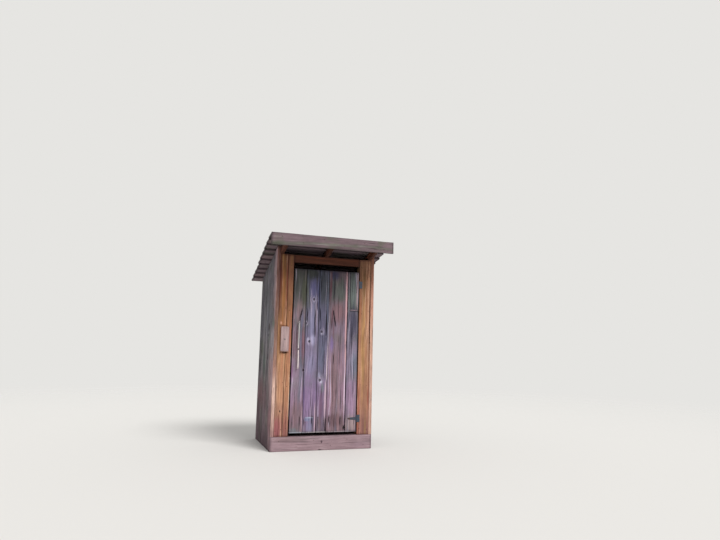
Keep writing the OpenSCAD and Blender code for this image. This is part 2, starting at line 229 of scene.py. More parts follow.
def knot_field(add, across, up, spots, board):
    """Distance to the nearest knot in knot radii, and how far the grain bends round the knots.

    spots are listed knots (across, up, radius) in mm; where there are none, a Voronoi
    pattern scatters them over the board's own coordinates, about one in 0.5 m."""
    near, bend, knots = 9.0, 0.0, []
    for x, z, radius in spots:
        dx = add("Math SUBTRACT", [across, x / 1000])
        dz = add("Math SUBTRACT", [up, z / 1000])
        dz = add("Math MULTIPLY", [dz, 0.8])
        knots.append((dx, add("CombineXYZ", [dx, dz]), radius / 1000))
    if not spots:
        near, cell = 1e6, (0.17, 0.55, 1.0)
        spread = add("VectorMath DIVIDE", [board, cell])
        flat = add("VectorMath MULTIPLY", [spread, (1, 1, 0)])
        cells = add("TexVoronoi", {"Vector": flat, "Scale": 1.0, "Randomness": 0.9}, None,
                    voronoi_dimensions="2D")
        gap = add("VectorMath SUBTRACT", [flat, cells.outputs["Position"]])
        arm = add("VectorMath MULTIPLY", [gap, (cell[0], cell[1] * 0.7, 0)])
        chance = add("SeparateColor", [cells.outputs["Color"]])
        radius = add("MapRange", [chance, 0.35, 1.0, 0.0008, 0.016])
        knots.append((add("SeparateXYZ", [arm]), arm, radius))
    for dx, arm, radius in knots:
        reach = add("VectorMath LENGTH", [arm], "Value")
        reach = add("Math DIVIDE", [reach, radius])
        pull = add("MapRange", [reach, 0.7, 4.5, 0.85, 0.0], **SOFT)
        bend = add("Math MULTIPLY_ADD", [dx, pull, bend])
        near = add("Math MINIMUM", [near, reach])
    return near, bend


def grain_lines(add, grain, bend):
    """Patterns that run with the grain of a board: streaks of five widths, and year rings."""
    # Grain lines wander by about 15 mm over half a metre, and bend round the knots
    slow = add("VectorMath MULTIPLY", [grain, (2.5, 2.5, 1.4)])
    wander = add("TexNoise", {"Vector": slow, "Scale": 1.0, "Detail": 1.0})
    drift = add("MapRange", [wander, 0.0, 1.0, -0.035, 0.035])
    shift = add("Math SUBTRACT", [drift, bend])
    line = add("CombineXYZ", [shift])
    lines = add("VectorMath ADD", [grain, line])
    # Streaks 60, 35, 12 and 3 mm wide; the last is drawn coarser than real fibre to show at all
    wide = streaks(add, lines, 15, 0.55, (3.7, 1.9, 5.1))
    broad = streaks(add, lines, 28, 0.75)
    middle = streaks(add, lines, 80, 1.5, (1.3, 4.1, 2.2))
    fine = streaks(add, lines, 340, 6.0, (2.9, 0.7, 7.7))
    # Blotches 70 mm wide and 160 mm long
    blotch = streaks(add, lines, 14, 6.0, (8.3, 2.6, 0.4))
    # Year rings 4 to 15 mm apart, in long arches, plainer in some places than in others
    crowd = add("Math MULTIPLY", [wide, 14.0])
    crowd = add("CombineXYZ", [crowd])
    arches = add("VectorMath MULTIPLY_ADD", [lines, (280, 280, 1.6), crowd])
    rings = add("TexWave", {"Vector": arches, "Scale": 0.16, "Distortion": 4.0, "Detail": 2.0,
                "Detail Scale": 0.5}, "Fac", wave_type="BANDS", bands_direction="X",
                wave_profile="SAW")
    plain = add("MapRange", [middle, 0.32, 0.62])
    rings = add("Mix", {"Factor": plain, "A": 0.5, "B": rings}, "Result")
    return wide, broad, middle, fine, blotch, rings


def nail_runs(add, up, rows, middle):
    """How strongly iron from the rows of nails has run down the wood, by height."""
    run = 0.0
    for row in rows:
        drop = add("MapRange", [up, row - 0.15, row], **SOFT)
        below = add("MapRange", [up, row + 0.03, row - 0.03], **SOFT)
        run = add("Math MULTIPLY_ADD", [drop, below, run])
    thin = add("MapRange", [middle, 0.30, 0.60], **SOFT)
    return add("Math MULTIPLY", [run, thin])


def timber(name, stain_a, stain_b, dark, light, knot="#2a1d18", heights=(), rows=(), spots=(),
           stains=(), edges=(), sideways="X", check=0.37, edge_dark=0.5, damp=0.0, rough=0.86,
           relief=0.0012, halo=0.3, green=0.0, depth=0.26, tint=0.8, front=0.0, pale=0.8,
           grime=0.6, mottle=0.14):
    """Old sawn softwood: soft early wood has worn away and left raised grain lines, dark drying
    checks and stains that run with the grain. Each board carries its own colour and coordinates.

    stain_a, stain_b  colours of the two sets of broad streaks
    heights           (height, colour) stops of a tint over the whole object
    rows              heights of nail rows, under which iron stains run down
    spots             listed knots (across, up, radius)
    stains, edges     listed marks under the grain and over it: stains, worn edges and dark lines, and some painted shade, shadows and highlights
    sideways          axis across the boards, for what is placed by hand
    check             how far the dark checks open, from none at 0.3
    depth             how much lighter and darker the broad streaks are
    front             how much pinker and paler the wood is near the front corner
    pale              how strong the pale worn lines are
    grime             how dirty the ends of the boards are
    mottle            how much lighter and darker the hand-sized blotches are"""
    material, add, shader = new_material(name)
    where = add("TexCoord", out="Object")
    grain = add("Attribute", out="Vector", attribute_name="grain")
    place = add("Attribute", out="Vector", attribute_name="place")
    world, side, own = (add("SeparateXYZ", [point], None).outputs
                        for point in (where, place, grain))
    across, up = world[sideways], world["Z"]
    flat = add("CombineXYZ", [own["X"], own["Z"]])
    near, bend = knot_field(add, across, up, spots, flat)
    wide, broad, middle, fine, blotch, rings = grain_lines(add, grain, bend)
    patches = add("TexNoise", {"Vector": where, "Scale": 5.0, "Detail": 3.0})

    col = add("Attribute", attribute_name="tone")
    if heights:
        rise = add("Math MULTIPLY_ADD", [patches, 0.5, up])
        rise = add("MapRange", [rise, 0.25, 2.75])
        ramp = add("ValToRGB", {"Fac": rise}, None)
        ramp.color_ramp.interpolation = "EASE"
        for i, (height, code) in enumerate(heights):
            stop = ramp.color_ramp.elements[i] if i < 2 else ramp.color_ramp.elements.new(1.0)
            stop.position = height / 2.5
            stop.color = rgba(code)
        col = add("Mix", {"Factor": tint, "A": col, "B": ramp.outputs["Color"]}, **BLEND)
    if front:
        corner = add("Math MULTIPLY_ADD", [patches, -0.30, world["Y"]])
        col = stain(add, col, "#a88789", corner, FRONT_Y + 0.12, FRONT_Y - 0.12, front)
    shade = 1.0
    for pattern, low, high, first, last in (
            (broad, 0.28, 0.72, 1 - depth, 1 + depth),
            (wide, 0.28, 0.72, 1 + depth * 0.8, 1 - depth * 0.8),
            (blotch, 0.30, 0.70, 1 - mottle, 1 + mottle),
            (rings, 0.0, 1.0, 1.22, 0.70), (fine, 0.3, 0.7, 0.78, 1.22)):
        part = add("MapRange", [pattern, low, high, first, last])
        shade = add("Math MULTIPLY", [part, shade])
    col = stain(add, col, stain_a, broad, 0.53, 0.70, 0.55)
    col = stain(add, col, stain_b, wide, 0.53, 0.68, 0.55)
    if green:
        col = stain(add, col, "#57634b", patches, 0.50, 0.68, green)
    # Pale worn lines, which the stains dull, then the lights and darks of the grain
    raised = add("MapRange", [broad, 0.40, 0.60], **SOFT)
    col = stain(add, col, light, middle, 0.56, 0.70, pale, raised)
    fray = add("Mix", {"Factor": 0.4, "A": middle, "B": fine}, "Result")
    col = marks_on(add, col, across, up, fray, stains, 5.0)
    col = add("VectorMath SCALE", {0: col, "Scale": shade})
    opened = add("MapRange", [middle, check + 0.03, check - 0.04], **SOFT)
    col = stain(add, col, dark, opened, 0.0, 1.0, 0.75)
    # A pale swirl with dark lines round each knot, then its dark core
    swirl = add("MapRange", [fine, 0.38, 0.62], **SOFT)
    torn = add("Math MULTIPLY_ADD", [wide, 14.0, near])
    col = stain(add, col, light, torn, 11.2, 8.0, halo, swirl)
    core = add("MapRange", [near, 1.3, 0.7], **SOFT)
    col = stain(add, col, knot, core, 0.0, 1.0, 0.92)
    col = stain(add, col, light, near, 0.70, 0.30, 0.20, swirl)
    # Iron stains run down from the nails, two to a board
    rim = add("Math ABSOLUTE", [side["X"]])
    if rows:
        off = add("Math SUBTRACT", [rim, 0.58])
        off = add("Math ABSOLUTE", [off])
        col = stain(add, col, "#2b2a33", off, 0.17, 0.0, 0.6, nail_runs(add, up, rows, middle))
    # Dirt in the joints and on the ends of the boards
    col = stain(add, col, dark, rim, 0.86, 1.0, edge_dark)
    end = add("Math MINIMUM", [side["Y"], side["Z"]])
    col = stain(add, col, dark, end, 0.03, 0.0, grime)
    if damp:
        wet = add("Math MULTIPLY_ADD", [patches, -0.5, up])
        col = stain(add, col, "#4d3840", wet, 0.10, -0.22, damp)
    col = marks_on(add, col, across, up, fine, edges)

    height = fine
    for pattern, lift in ((rings, -0.35), (opened, -1.3), (core, -0.6)):
        height = add("Math MULTIPLY_ADD", [pattern, lift, height])
    bump = add("Bump", {"Height": height, "Strength": 0.9, "Distance": relief})
    gloss = add("MapRange", [fine, 0.0, 1.0, rough - 0.1, rough + 0.1])
    feed(shader, {"Base Color": col, "Normal": bump, "Roughness": gloss,
                  "Specular IOR Level": 0.25})
    return material


def steel(name, tone):
    """Plated strap steel, dull with age: the plating is grey-blue, and rust has started at
    scratches and pits. Pits are about 2 mm, rust patches about 15 mm."""
    material, add, shader = new_material(name)
    where = add("TexCoord", out="Object")
    spread = add("TexNoise", {"Vector": where, "Scale": 65.0, "Detail": 5.0, "Roughness": 0.65})
    pits = add("TexNoise", {"Vector": where, "Scale": 500.0, "Detail": 2.0})
    rust = add("MapRange", [spread, 0.52, 0.64], **SOFT)
    plating = add("Mix", {"Factor": pits, "A": rgba(tone, 0.7), "B": rgba(tone, 1.25)}, **BLEND)
    rusted = add("Mix", {"Factor": pits, "A": rgba("#3c2417"), "B": rgba("#7a4524")}, **BLEND)
    feed(shader, {
        "Base Color": add("Mix", {"Factor": rust, "A": plating, "B": rusted}, **BLEND),
        "Metallic": add("MapRange", [rust, 0.0, 1.0, 0.85, 0.1]),
        "Roughness": add("MapRange", [rust, 0.0, 1.0, 0.48, 0.9]),
        "Normal": add("Bump", {"Height": pits, "Strength": 0.5, "Distance": 0.0004})})
    return material


def peeled_stick(name):
    """Stick with its bark off: the upper half is grey, partly from lichen and partly as painted
    shade, the lower half is worn pale and slightly shiny by hands."""
    material, add, shader = new_material(name)
    where = add("TexCoord", out="Object")
    up = add("SeparateXYZ", [where], "Z")
    stretched = add("VectorMath MULTIPLY", [where, (240, 240, 14)])
    fibres = add("TexNoise", {"Vector": stretched, "Scale": 1.0, "Detail": 3.0})
    upper = add("MapRange", [up, HANDLE_JOINT - 0.01, HANDLE_JOINT + 0.09], **SOFT)
    pale = add("Mix", {"Factor": fibres, "A": rgba("#d3c0bf"), "B": rgba("#f3eae8")}, **BLEND)
    lichen_and_shade = add("Mix", {"Factor": fibres, "A": rgba("#807c7e"), "B": rgba("#c6c3c2")}, **BLEND)
    feed(shader, {
        "Base Color": add("Mix", {"Factor": upper, "A": pale, "B": lichen_and_shade}, **BLEND),
        "Roughness": 0.55,
        "Normal": add("Bump", {"Height": fibres, "Strength": 0.5, "Distance": 0.0006})})
    return material


def iron(name):
    """Heads of old wire nails: dark iron, rough and brown with rust."""
    material, add, shader = new_material(name)
    where = add("TexCoord", out="Object")
    spots = add("TexNoise", {"Vector": where, "Scale": 300.0, "Detail": 3.0})
    feed(shader, {
        "Base Color": add("Mix", {"Factor": spots, "A": rgba("#1f1c1f"), "B": rgba("#5b3a2a")},
                          **BLEND),
        "Metallic": 0.4,
        "Roughness": 0.75,
        "Normal": add("Bump", {"Height": spots, "Strength": 0.6, "Distance": 0.0004})})
    return material


# Knots that the photograph shows on the door, in mm: across from the front's middle, height,
# radius
DOOR_KNOTS = (
    (-150, 1750, 13), (-234, 1462, 9), (-45, 1368, 12), (-192, 1250, 13), (-48, 800, 14),
    (-248, 915, 8))
# Stains on the door, in mm: across, height, half width, half height, then colour and strength. The
# dark grey marks high on the planks are partly painted shade, and the pale mark at the patch's
# right edge is a painted highlight
DOOR_STAINS_AND_SHADE = (
    (340, 1830, 44, 200, "#748079", 0.5), (294, 1520, 6, 440, "#8f9a96", 0.5),
    (396, 1820, 6, 160, "#a28c94", 0.5), (-160, 270, 32, 75, "#8383a2", 0.6),
    (-34, 1345, 18, 20, "#c0bdd4", 0.75), (-38, 782, 18, 20, "#c6c2d8", 0.75),
    (-56, 860, 15, 38, "#aaa7c2", 0.65), (-207, 1275, 16, 20, "#b9b6d0", 0.7),
    (-386, 1250, 8, 360, "#a98a92", 0.6), (-165, 980, 50, 120, "#8783a0", 0.5),
    (170, 700, 90, 550, "#957a78", 0.35), (-165, 1360, 65, 120, "#67637c", 0.5),
    (-30, 1270, 50, 150, "#5e6279", 0.5), (-160, 1960, 70, 140, "#413f4e", 0.5),
    (-20, 960, 50, 140, "#6b6478", 0.5), (-335, 1930, 85, 260, "#40433f", 0.85),
    (-250, 1810, 50, 200, "#4e5141", 0.8), (-165, 2060, 85, 80, "#34372f", 0.8),
    (-150, 1870, 55, 120, "#58557a", 0.75), (-25, 1920, 65, 240, "#3d4046", 0.8),
    (-95, 1800, 20, 200, "#3f4165", 0.6), (115, 2050, 50, 70, "#302f50", 0.75),
    (160, 1860, 95, 140, "#555955", 0.9), (60, 1900, 12, 200, "#5c3741", 0.8),
    (160, 1600, 90, 120, "#7f5f64", 0.75), (80, 1550, 10, 100, "#67404a", 0.7),
    (105, 1380, 11, 130, "#74505a", 0.6), (88, 1220, 22, 90, "#7b6797", 0.75),
    (-320, 1600, 40, 120, "#80686d", 0.6), (-285, 1480, 18, 90, "#79768f", 0.6),
    (-265, 1220, 18, 200, "#7d5258", 0.7), (-236, 580, 10, 200, "#634c80", 0.6),
    (-16, 710, 18, 50, "#7f8b8c", 0.6), (-165, 1500, 30, 200, "#8d8baa", 0.6),
    (-35, 1520, 40, 160, "#625f7a", 0.5), (-150, 1270, 30, 60, "#aaa5c4", 0.7),
    (-355, 1200, 30, 160, "#8d6f76", 0.5), (345, 1480, 70, 200, "#434152", 0.85),
    (370, 1000, 45, 140, "#65717f", 0.6), (-40, 1050, 45, 150, "#646a80", 0.6),
    (-385, 900, 10, 140, "#84567f", 0.6), (-205, 580, 45, 260, "#866b92", 0.45),
    (-110, 620, 30, 200, "#9478a0", 0.4), (-30, 500, 30, 160, "#735169", 0.6),
    (120, 750, 60, 400, "#876a6c", 0.6), (200, 950, 40, 180, "#947482", 0.5),
    (150, 340, 95, 70, "#6f5358", 0.6), (-310, 450, 60, 140, "#7c6462", 0.5),
    (-50, 300, 30, 80, "#6e5a5a", 0.6), (330, 550, 50, 200, "#a5869f", 0.5),
    (340, 300, 70, 90, "#a89390", 0.6), (-350, 220, 50, 35, "#74838a", 0.5),
    (-175, 355, 50, 22, "#7b84a0", 0.7))
# Lines along the joints, the dark runs under the lower nails, and the door's foot worn pale. The
# pale joint lines are painted highlights where plank edges stand proud, over some pale wear. The
# dark joint lines are dirt and painted shade. The marks noted below are painted shadows and
# highlights
DOOR_EDGES_AND_PAINTED_LIGHT = (
    (275.5, 1600, 4.5, 550, "#17121a", 0.95), (274.5, 620, 4, 420, "#201723", 0.95),
    (37.5, 1900, 4, 250, "#241c22", 0.8), (-84.5, 1700, 4, 500, "#201d2b", 0.7),
    (-245.5, 1800, 4, 350, "#25251f", 0.7), (259.5, 1600, 11.5, 480, "#cb9fa4", 0.95),
    (261, 1050, 8.5, 160, "#d0a3a6", 0.85), (257.5, 720, 6, 300, "#dcc2d6", 0.9),
    (41, 1360, 8, 260, "#aba4b6", 0.8), (34, 980, 6.5, 190, "#e6d0d8", 0.9),
    (24, 560, 12, 220, "#cbadbb", 0.8), (-98, 340, 7, 170, "#c7a6b6", 0.8),
    (-250, 340, 4.5, 160, "#c9a9b6", 0.8), (-270, 680, 6, 130, "#bda2bf", 0.7),
    # The two marks on the next line, one on each side of the handle, are painted shadows
    (-308, 1220, 4, 270, "#453b45", 0.55), (-350, 1220, 4, 270, "#5a4a50", 0.45),
    (-253, 915, 8.5, 12, "#1d1420", 0.95), (54, 1900, 4, 140, "#4a2530", 0.7),
    (-279, 340, 5, 50, "#35222e", 0.9), (-226, 335, 5, 50, "#35222e", 0.9),
    (-132, 345, 6, 40, "#2f2c3e", 0.9), (-60, 335, 4, 40, "#3f2c30", 0.7),
    (30, 290, 4.5, 80, "#2a1a24", 0.9), (69, 345, 6, 45, "#3c2430", 0.9),
    # The second mark on the next line, near black round the gap at the foot, is painted shade
    (212, 340, 5, 45, "#3c2630", 0.8), (263, 250, 12, 25, "#0d080c", 0.95),
    # The first mark on the next line is a painted highlight on the patch's lower edge
    (348, 1640.5, 56, 5.5, "#a8909a", 0.7), (-310, 206, 105, 9.5, "#a9adb6", 0.6),
    (-70, 206, 130, 8, "#b3adac", 0.55), (225, 206.5, 150, 7.5, "#b3a6ac", 0.5),
    (-163, 372, 34, 7.5, "#aeb4c8", 0.7))
# Checks of the door's planks: plank, across, height, width and length in mm, and lean
DOOR_CHECKS = (
    (0, -301, 1565, 9, 150, 0.25), (0, -345, 550, 3, 300), (1, -127, 1460, 10, 340),
    (1, -105, 1740, 5, 260), (1, -226, 1550, 8, 180), (1, -150, 620, 3, 300),
    (1, -120, 1980, 5, 220), (2, -66, 1570, 8, 160), (2, 13, 1450, 13, 360),
    (2, -4, 1020, 6, 300), (3, 112, 1535, 9, 210, -0.18), (3, 110, 1900, 4, 250),
    (3, 111, 1050, 5, 140), (2, -30, 1300, 3, 200), (3, 190, 1200, 3, 450), (3, 215, 600, 3, 300),
    (3, 140, 300, 4, 220), (4, 335, 1300, 3, 400), (4, 360, 750, 3, 300), (0, -279, 345, 4, 100),
    (1, -226, 335, 4, 100), (1, -132, 345, 4, 90), (3, 69, 345, 4, 90), (3, 212, 335, 4, 90),
    (2, -60, 1950, 5, 200))
# Knots and stains of the left wall, the same way from the front face backwards; the dark grey marks
# towards the back are partly painted shade
WALL_KNOTS = (
    (360, 1420, 28), (410, 1240, 16), (370, 1060, 30), (120, 1620, 12), (840, 1120, 20),
    (660, 1800, 16), (600, 620, 18), (220, 480, 13))
WALL_STAINS_AND_SHADE = (
    (360, 1420, 55, 45, "#2e2a33", 0.8), (410, 1240, 40, 35, "#34303a", 0.7),
    (370, 1060, 50, 50, "#332d36", 0.8), (840, 1120, 40, 35, "#2f2d32", 0.7),
    (130, 920, 130, 300, "#b39698", 0.9), (120, 1250, 120, 200, "#a79fa4", 0.85),
    (930, 1100, 150, 320, "#39383b", 0.8), (600, 620, 100, 160, "#837678", 0.6),
    (150, 1520, 90, 120, "#666a6c", 0.6), (100, 350, 100, 160, "#82595f", 0.6),
    (380, 950, 50, 120, "#463b44", 0.7), (450, 1450, 90, 220, "#4f5158", 0.6),
    (600, 980, 100, 160, "#56635e", 0.7), (800, 1150, 100, 120, "#4b5643", 0.7),
    (750, 600, 260, 180, "#6b474c", 0.7), (420, 550, 100, 180, "#6a5158", 0.6),
    (900, 1650, 160, 350, "#39373e", 0.7), (950, 920, 120, 200, "#423a3f", 0.6),
    (600, 1800, 150, 160, "#44454a", 0.6), (300, 1850, 120, 200, "#5b5358", 0.5),
    (920, 330, 180, 180, "#4a363c", 0.8), (385, 1150, 16, 120, "#1d1a20", 0.9),
    (370, 1410, 32, 45, "#1f1c24", 0.85), (375, 1320, 24, 20, "#211e26", 0.8),
    (400, 985, 28, 30, "#231c22", 0.85), (600, 1235, 22, 20, "#2a2830", 0.7),
    (90, 1440, 50, 50, "#5f7a66", 0.55))
# The front end of the right wall is more even than the left one's
CORNER_STAINS = (
    (-600, 650, 60, 170, "#d8b5a6", 0.8), (600, 350, 80, 500, "#b28b7b", 0.95),
    (600, 2020, 80, 300, "#94644f", 0.95), (600, 1620, 80, 280, "#bd8a76", 0.9),
    (600, 1100, 80, 400, "#cba08a", 0.9))
SILL_STAINS = (
    (0, 187, 640, 7, "#c2a6b0", 0.6), (-320, 125, 160, 30, "#80706f", 0.5),
    (-5, 96, 9, 18, "#4c3a42", 0.9), (-450, 130, 140, 30, "#93797a", 0.5),
    (450, 50, 140, 30, "#8c7680", 0.5))
LEFT_JAMB_STAINS = (
    (-530, 270, 50, 100, "#94525a", 0.7), (-560, 1950, 16, 280, "#6a2f24", 0.7),
    (-520, 1850, 22, 350, "#8f6231", 0.6), (-480, 1950, 10, 300, "#5a2a1f", 0.7),
    (-440, 680, 40, 420, "#93664d", 0.65), (-520, 750, 50, 300, "#a4765c", 0.5),
    (-440, 300, 20, 140, "#86504c", 0.6), (-440, 1270, 16, 140, "#9a7580", 0.5),
    (-560, 750, 12, 250, "#c9a08c", 0.6))
RIGHT_JAMB_STAINS = (
    (505, 1220, 55, 420, "#946a4c", 0.36), (435, 550, 16, 400, "#8b4c38", 0.7),
    (560, 580, 8, 100, "#7a3530", 0.8), (520, 1750, 5, 360, "#8a5238", 0.6),
    (437, 1500, 12, 400, "#96583f", 0.6), (485, 1300, 22, 600, "#c0955f", 0.5),
    (490, 1980, 30, 160, "#6f5232", 0.6))
# Long dark cracks of the jamb boards, and the lines worn pale beside them; the right board's dark
# line by its joint is partly painted shade, and the left board's marks round the turn button are
# painted shadows
RIGHT_JAMB_EDGES = (
    # The two dark marks on the next line, along the board's edge by the joint, are a crack and
    # partly painted shade
    (563.5, 1560, 5.5, 560, "#45211a", 0.95), (564, 800, 3.5, 340, "#6a3528", 0.7),
    (547.5, 1450, 5.5, 550, "#d2a48e", 0.7), (451, 1620, 3.5, 280, "#85532f", 0.7),
    (478, 1300, 3, 350, "#8f5f3a", 0.5))
LEFT_JAMB_EDGES_AND_SHADOWS = (
    (-565.5, 1900, 3.5, 360, "#4a1f18", 0.8), (-474, 1100, 2.5, 900, "#4d2a1c", 0.8),
    # The second mark on the next line, and both marks on the line after it, are painted shadows of
    # the turn button: under it, on its left and over its top
    (-515, 1750, 2.5, 220, "#6d3c22", 0.7), (-488, 1113.5, 48, 11, "#2e1513", 0.9),
    (-542.5, 1270, 4.5, 145, "#7a4a30", 0.7), (-500, 1424, 45, 8.5, "#5d3a30", 0.6),
    (-535, 1455, 10, 18, "#e0a890", 0.6), (-424, 1200, 8, 220, "#b0685c", 0.6))
# One knot far outside the piece, for wood without knots
NO_KNOTS = ((5000, 5000, 10),)
# Colour of each door plank beside the others, from the latch side
DOOR_TONES = ("#8d7b80", "#857f98", "#706e86", "#927982", "#7d7a86")
# How far each door plank stands proud of the first
DOOR_STEPS = (0.0, 0.0015, -0.0010, -0.0025, 0.0)


def cracks():
    """The dark insides of the door's checks; a leaning check is drawn in four parts."""
    marks = []
    for _, x, z, wide, high, *lean in DOOR_CHECKS:
        for part in (-0.3, -0.1, 0.1, 0.3) if lean else (0.0,):
            marks.append((x + part * high * sum(lean), z + part * high, 0.6 * wide + 1.2,
                          (0.18 if lean else 0.45) * high, "#1d1a22", 0.85))
    return marks


def finishes(colours):
    """The materials, by the name that the pieces ask for."""
    front = FRONT_Y * 1000
    cedar = ("#655458", "#656f62", "#241e22", "#9b9196")
    wall = {"heights": ((0.0, "#6a4d57"), (0.45, "#775f66"), (0.95, "#7b7377"),
                        (1.45, "#6c6b72"), (2.1, "#5b5860")),
            "rows": (SILL_ROW, GIRT_ROW, 2.02), "damp": 0.6, "green": 0.35, "tint": 0.65,
            "front": 0.85}
    jamb = {"check": 0.38, "rough": 0.78, "relief": 0.0009, "halo": 0.2}
    return {
        # Mauve at the foot, lavender in the middle and near black under the header; the darkening
        # towards the top is partly painted shade
        "door": timber(
            "weathered_cedar_door", "#84696f", "#676f88", "#1f1b26", "#bcafc4", knot="#211c28",
            heights=((0.20, "#785d68"), (0.60, colours.door_low), (1.00, "#86758d"),
                     (1.35, colours.door_middle), (1.65, "#534f59"), (1.95, colours.door_top)),
            rows=[z + lift for z in LEDGE_Z for lift in (0.03, -0.03)], spots=DOOR_KNOTS,
            stains=DOOR_STAINS_AND_SHADE, edges=(*DOOR_EDGES_AND_PAINTED_LIGHT, *cracks()), tint=0.66, green=0.25, halo=0.6,
            pale=0.85),
        # The side that the photograph shows: silver grey, with large knots and green damp, and
        # darker towards the back partly as painted shade
        "wall_side": timber(
            "weathered_cedar_side", *cedar, spots=[(front + y, *rest) for y, *rest in WALL_KNOTS],
            stains=[(front + y, *rest) for y, *rest in WALL_STAINS_AND_SHADE], sideways="Y", mottle=0.34,
            depth=0.34, **wall),
        # The same planks where the photograph doesn't reach
        "wall": timber("weathered_cedar_wall", *cedar, mottle=0.26, depth=0.32, **wall),
        # Pink-brown edges of the first planks, worn smooth at the front corners
        "corner": timber(
            "worn_corner_edge", "#a7796c", "#bb958c", "#5d3f38", "#e0c2b6",
            heights=((0.16, "#9a7672"), (0.50, "#c5a193"), (0.90, "#a57c6d"), (1.40, "#8a6757"),
                     (2.00, "#744d44")),
            stains=CORNER_STAINS, spots=NO_KNOTS, check=0.34, edge_dark=0.0, relief=0.0008,
            tint=0.9),
        # Orange-tan board, red-brown towards its top and with dark grain lines: the jamb wood with
        # painted shade, beside the sunlit right jamb
        "left_jamb": timber(
            "cedar_jamb_left", "#8a4c38", "#c79d5e", "#4f2a1f", "#dcb193",
            heights=((0.16, "#835658"), (0.60, "#b08366"), (1.00, "#ad7f5b"), (1.45, "#8d5d3d"),
                     (1.75, "#73472e"), (2.05, "#603524")),
            stains=LEFT_JAMB_STAINS, edges=LEFT_JAMB_EDGES_AND_SHADOWS, depth=0.36, **jamb),
        # The same wood in the sun: paler and more even
        "right_jamb": timber(
            "cedar_jamb_right", "#95604a", "#c19a66", "#55302a", "#dcb29a",
            heights=((0.16, "#7b4f50"), (0.60, "#986a55"), (1.00, "#a17559"), (1.50, "#a07457"),
                     (1.85, "#936a50"), (2.15, "#80573f")),
            stains=RIGHT_JAMB_STAINS, edges=RIGHT_JAMB_EDGES, depth=0.34, **jamb),
        # Dark red-brown, hardly weathered under the roof, and darkened further as painted shade
        "header": timber("cedar_header", "#7c4026", "#43241c", "#1f0f0b", "#94583a", check=0.35,
                         rough=0.75, relief=0.0008),
        # Plain brown softwood, dry and nearly without checks
        "lumber": timber("fir_lumber", "#9a7048", "#735641", "#3a281c", "#b8946a", check=0.31,
                         rough=0.8, relief=0.0006),
        # Grey-pink, with a pale worn top edge and damp at the ground
        "sill": timber("weathered_sill", "#927981", "#857a81", "#55454b", "#c6b1b4", check=0.34,
                       stains=SILL_STAINS, damp=0.25, depth=0.16),
        # Purplish grey, with patches of green damp
        "roof": timber("weathered_roof_board", "#6a5c5c", "#6e7364", "#2a2427", "#a2979a",
                       green=0.45),
        # Pale pinkish grey offcut, smoother than the boards round it
        "button": timber("sawn_offcut", "#9d8584", "#928084", "#6b565a", "#ccb9b7", check=0.35,
                         rough=0.8, relief=0.001, depth=0.16, edge_dark=0.1, grime=0.15),
        # Hinges: dark blue-grey between brown rust
        "steel": steel("plated_steel", colours.steel),
        # Screw and washers of the turn button: paler and pinker
        "zinc": steel("dull_zinc", "#9c8f90"),
        # Handle: the palest wood on the door
        "stick": peeled_stick("peeled_stick"),
        # Nail heads and wire: nearly black dots and rings
        "iron": iron("rusted_nail_iron"),
    }


def deselect():
    """Leaves edit mode and selects nothing."""
    if bpy.context.object and bpy.context.object.mode != "OBJECT":
        bpy.ops.object.mode_set(mode="OBJECT")
    bpy.ops.object.select_all(action="DESELECT")


def activate(obj):
    """Makes an object the only selected one, and the active one."""
    deselect()
    obj.select_set(True)
    bpy.context.view_layer.objects.active = obj


def shape(primitive, scale=(1, 1, 1), centre=(0, 0, 0), turn=(0, 0, 0), **settings):
    """Adds a primitive at its size and place, with nothing left on the object."""
    deselect()
    primitive(location=centre, rotation=turn, **settings)
    made = bpy.context.object
    made.scale = scale
    bpy.ops.object.transform_apply(location=True, rotation=True, scale=True)
    return made


def block(low, high):
    """Plain block between two corners, to cut with or to shape further."""
    low, high = Vector(low), Vector(high)
    return shape(bpy.ops.mesh.primitive_cube_add, high - low, (low + high) / 2, size=1)


@contextlib.contextmanager
def editing(obj):
    """Edit mode for one object, with all of it selected."""
    activate(obj)
    bpy.ops.object.mode_set(mode="EDIT")
    bpy.ops.mesh.select_all(action="SELECT")
    yield
    bpy.ops.object.mode_set(mode="OBJECT")


def pick(obj, kind, test):
    """In edit mode, selects just the vertices, edges or faces that pass the test."""
    bpy.ops.mesh.select_mode(type={"verts": "VERT", "edges": "EDGE", "faces": "FACE"}[kind])
    bpy.ops.mesh.select_all(action="DESELECT")
    mesh = bmesh.from_edit_mesh(obj.data)
    for element in getattr(mesh, kind):
        if test(element):
            element.select_set(True)
    mesh.select_flush_mode()
    bmesh.update_edit_mesh(obj.data)


def along_axis(edge, axis):
    """Whether an edge runs along an axis."""
    step = edge.verts[1].co - edge.verts[0].co
    return abs(step[axis]) > 0.999 * step.length


def break_edges(width, segments, sharp=60, profile=0.5):
    """In edit mode, rounds off all edges that are sharper than so many degrees."""
    bpy.ops.mesh.select_all(action="DESELECT")
    bpy.ops.mesh.select_mode(type="EDGE")
    bpy.ops.mesh.edges_select_sharp(sharpness=math.radians(sharp))
    bpy.ops.mesh.bevel(offset=width, segments=segments, profile=profile, affect="EDGES")


def saw(point, out, off=True):
    """In edit mode, cuts the whole mesh along a plane and takes off what is beyond it."""
    bpy.ops.mesh.select_all(action="SELECT")
    bpy.ops.mesh.bisect(plane_co=point, plane_no=out, use_fill=off, clear_outer=off)


def join(pieces):
    """Joins pieces into one mesh."""
    activate(pieces[0])
    for piece in pieces[1:]:
        piece.select_set(True)
    if len(pieces) > 1:
        bpy.ops.object.join()
    return bpy.context.object


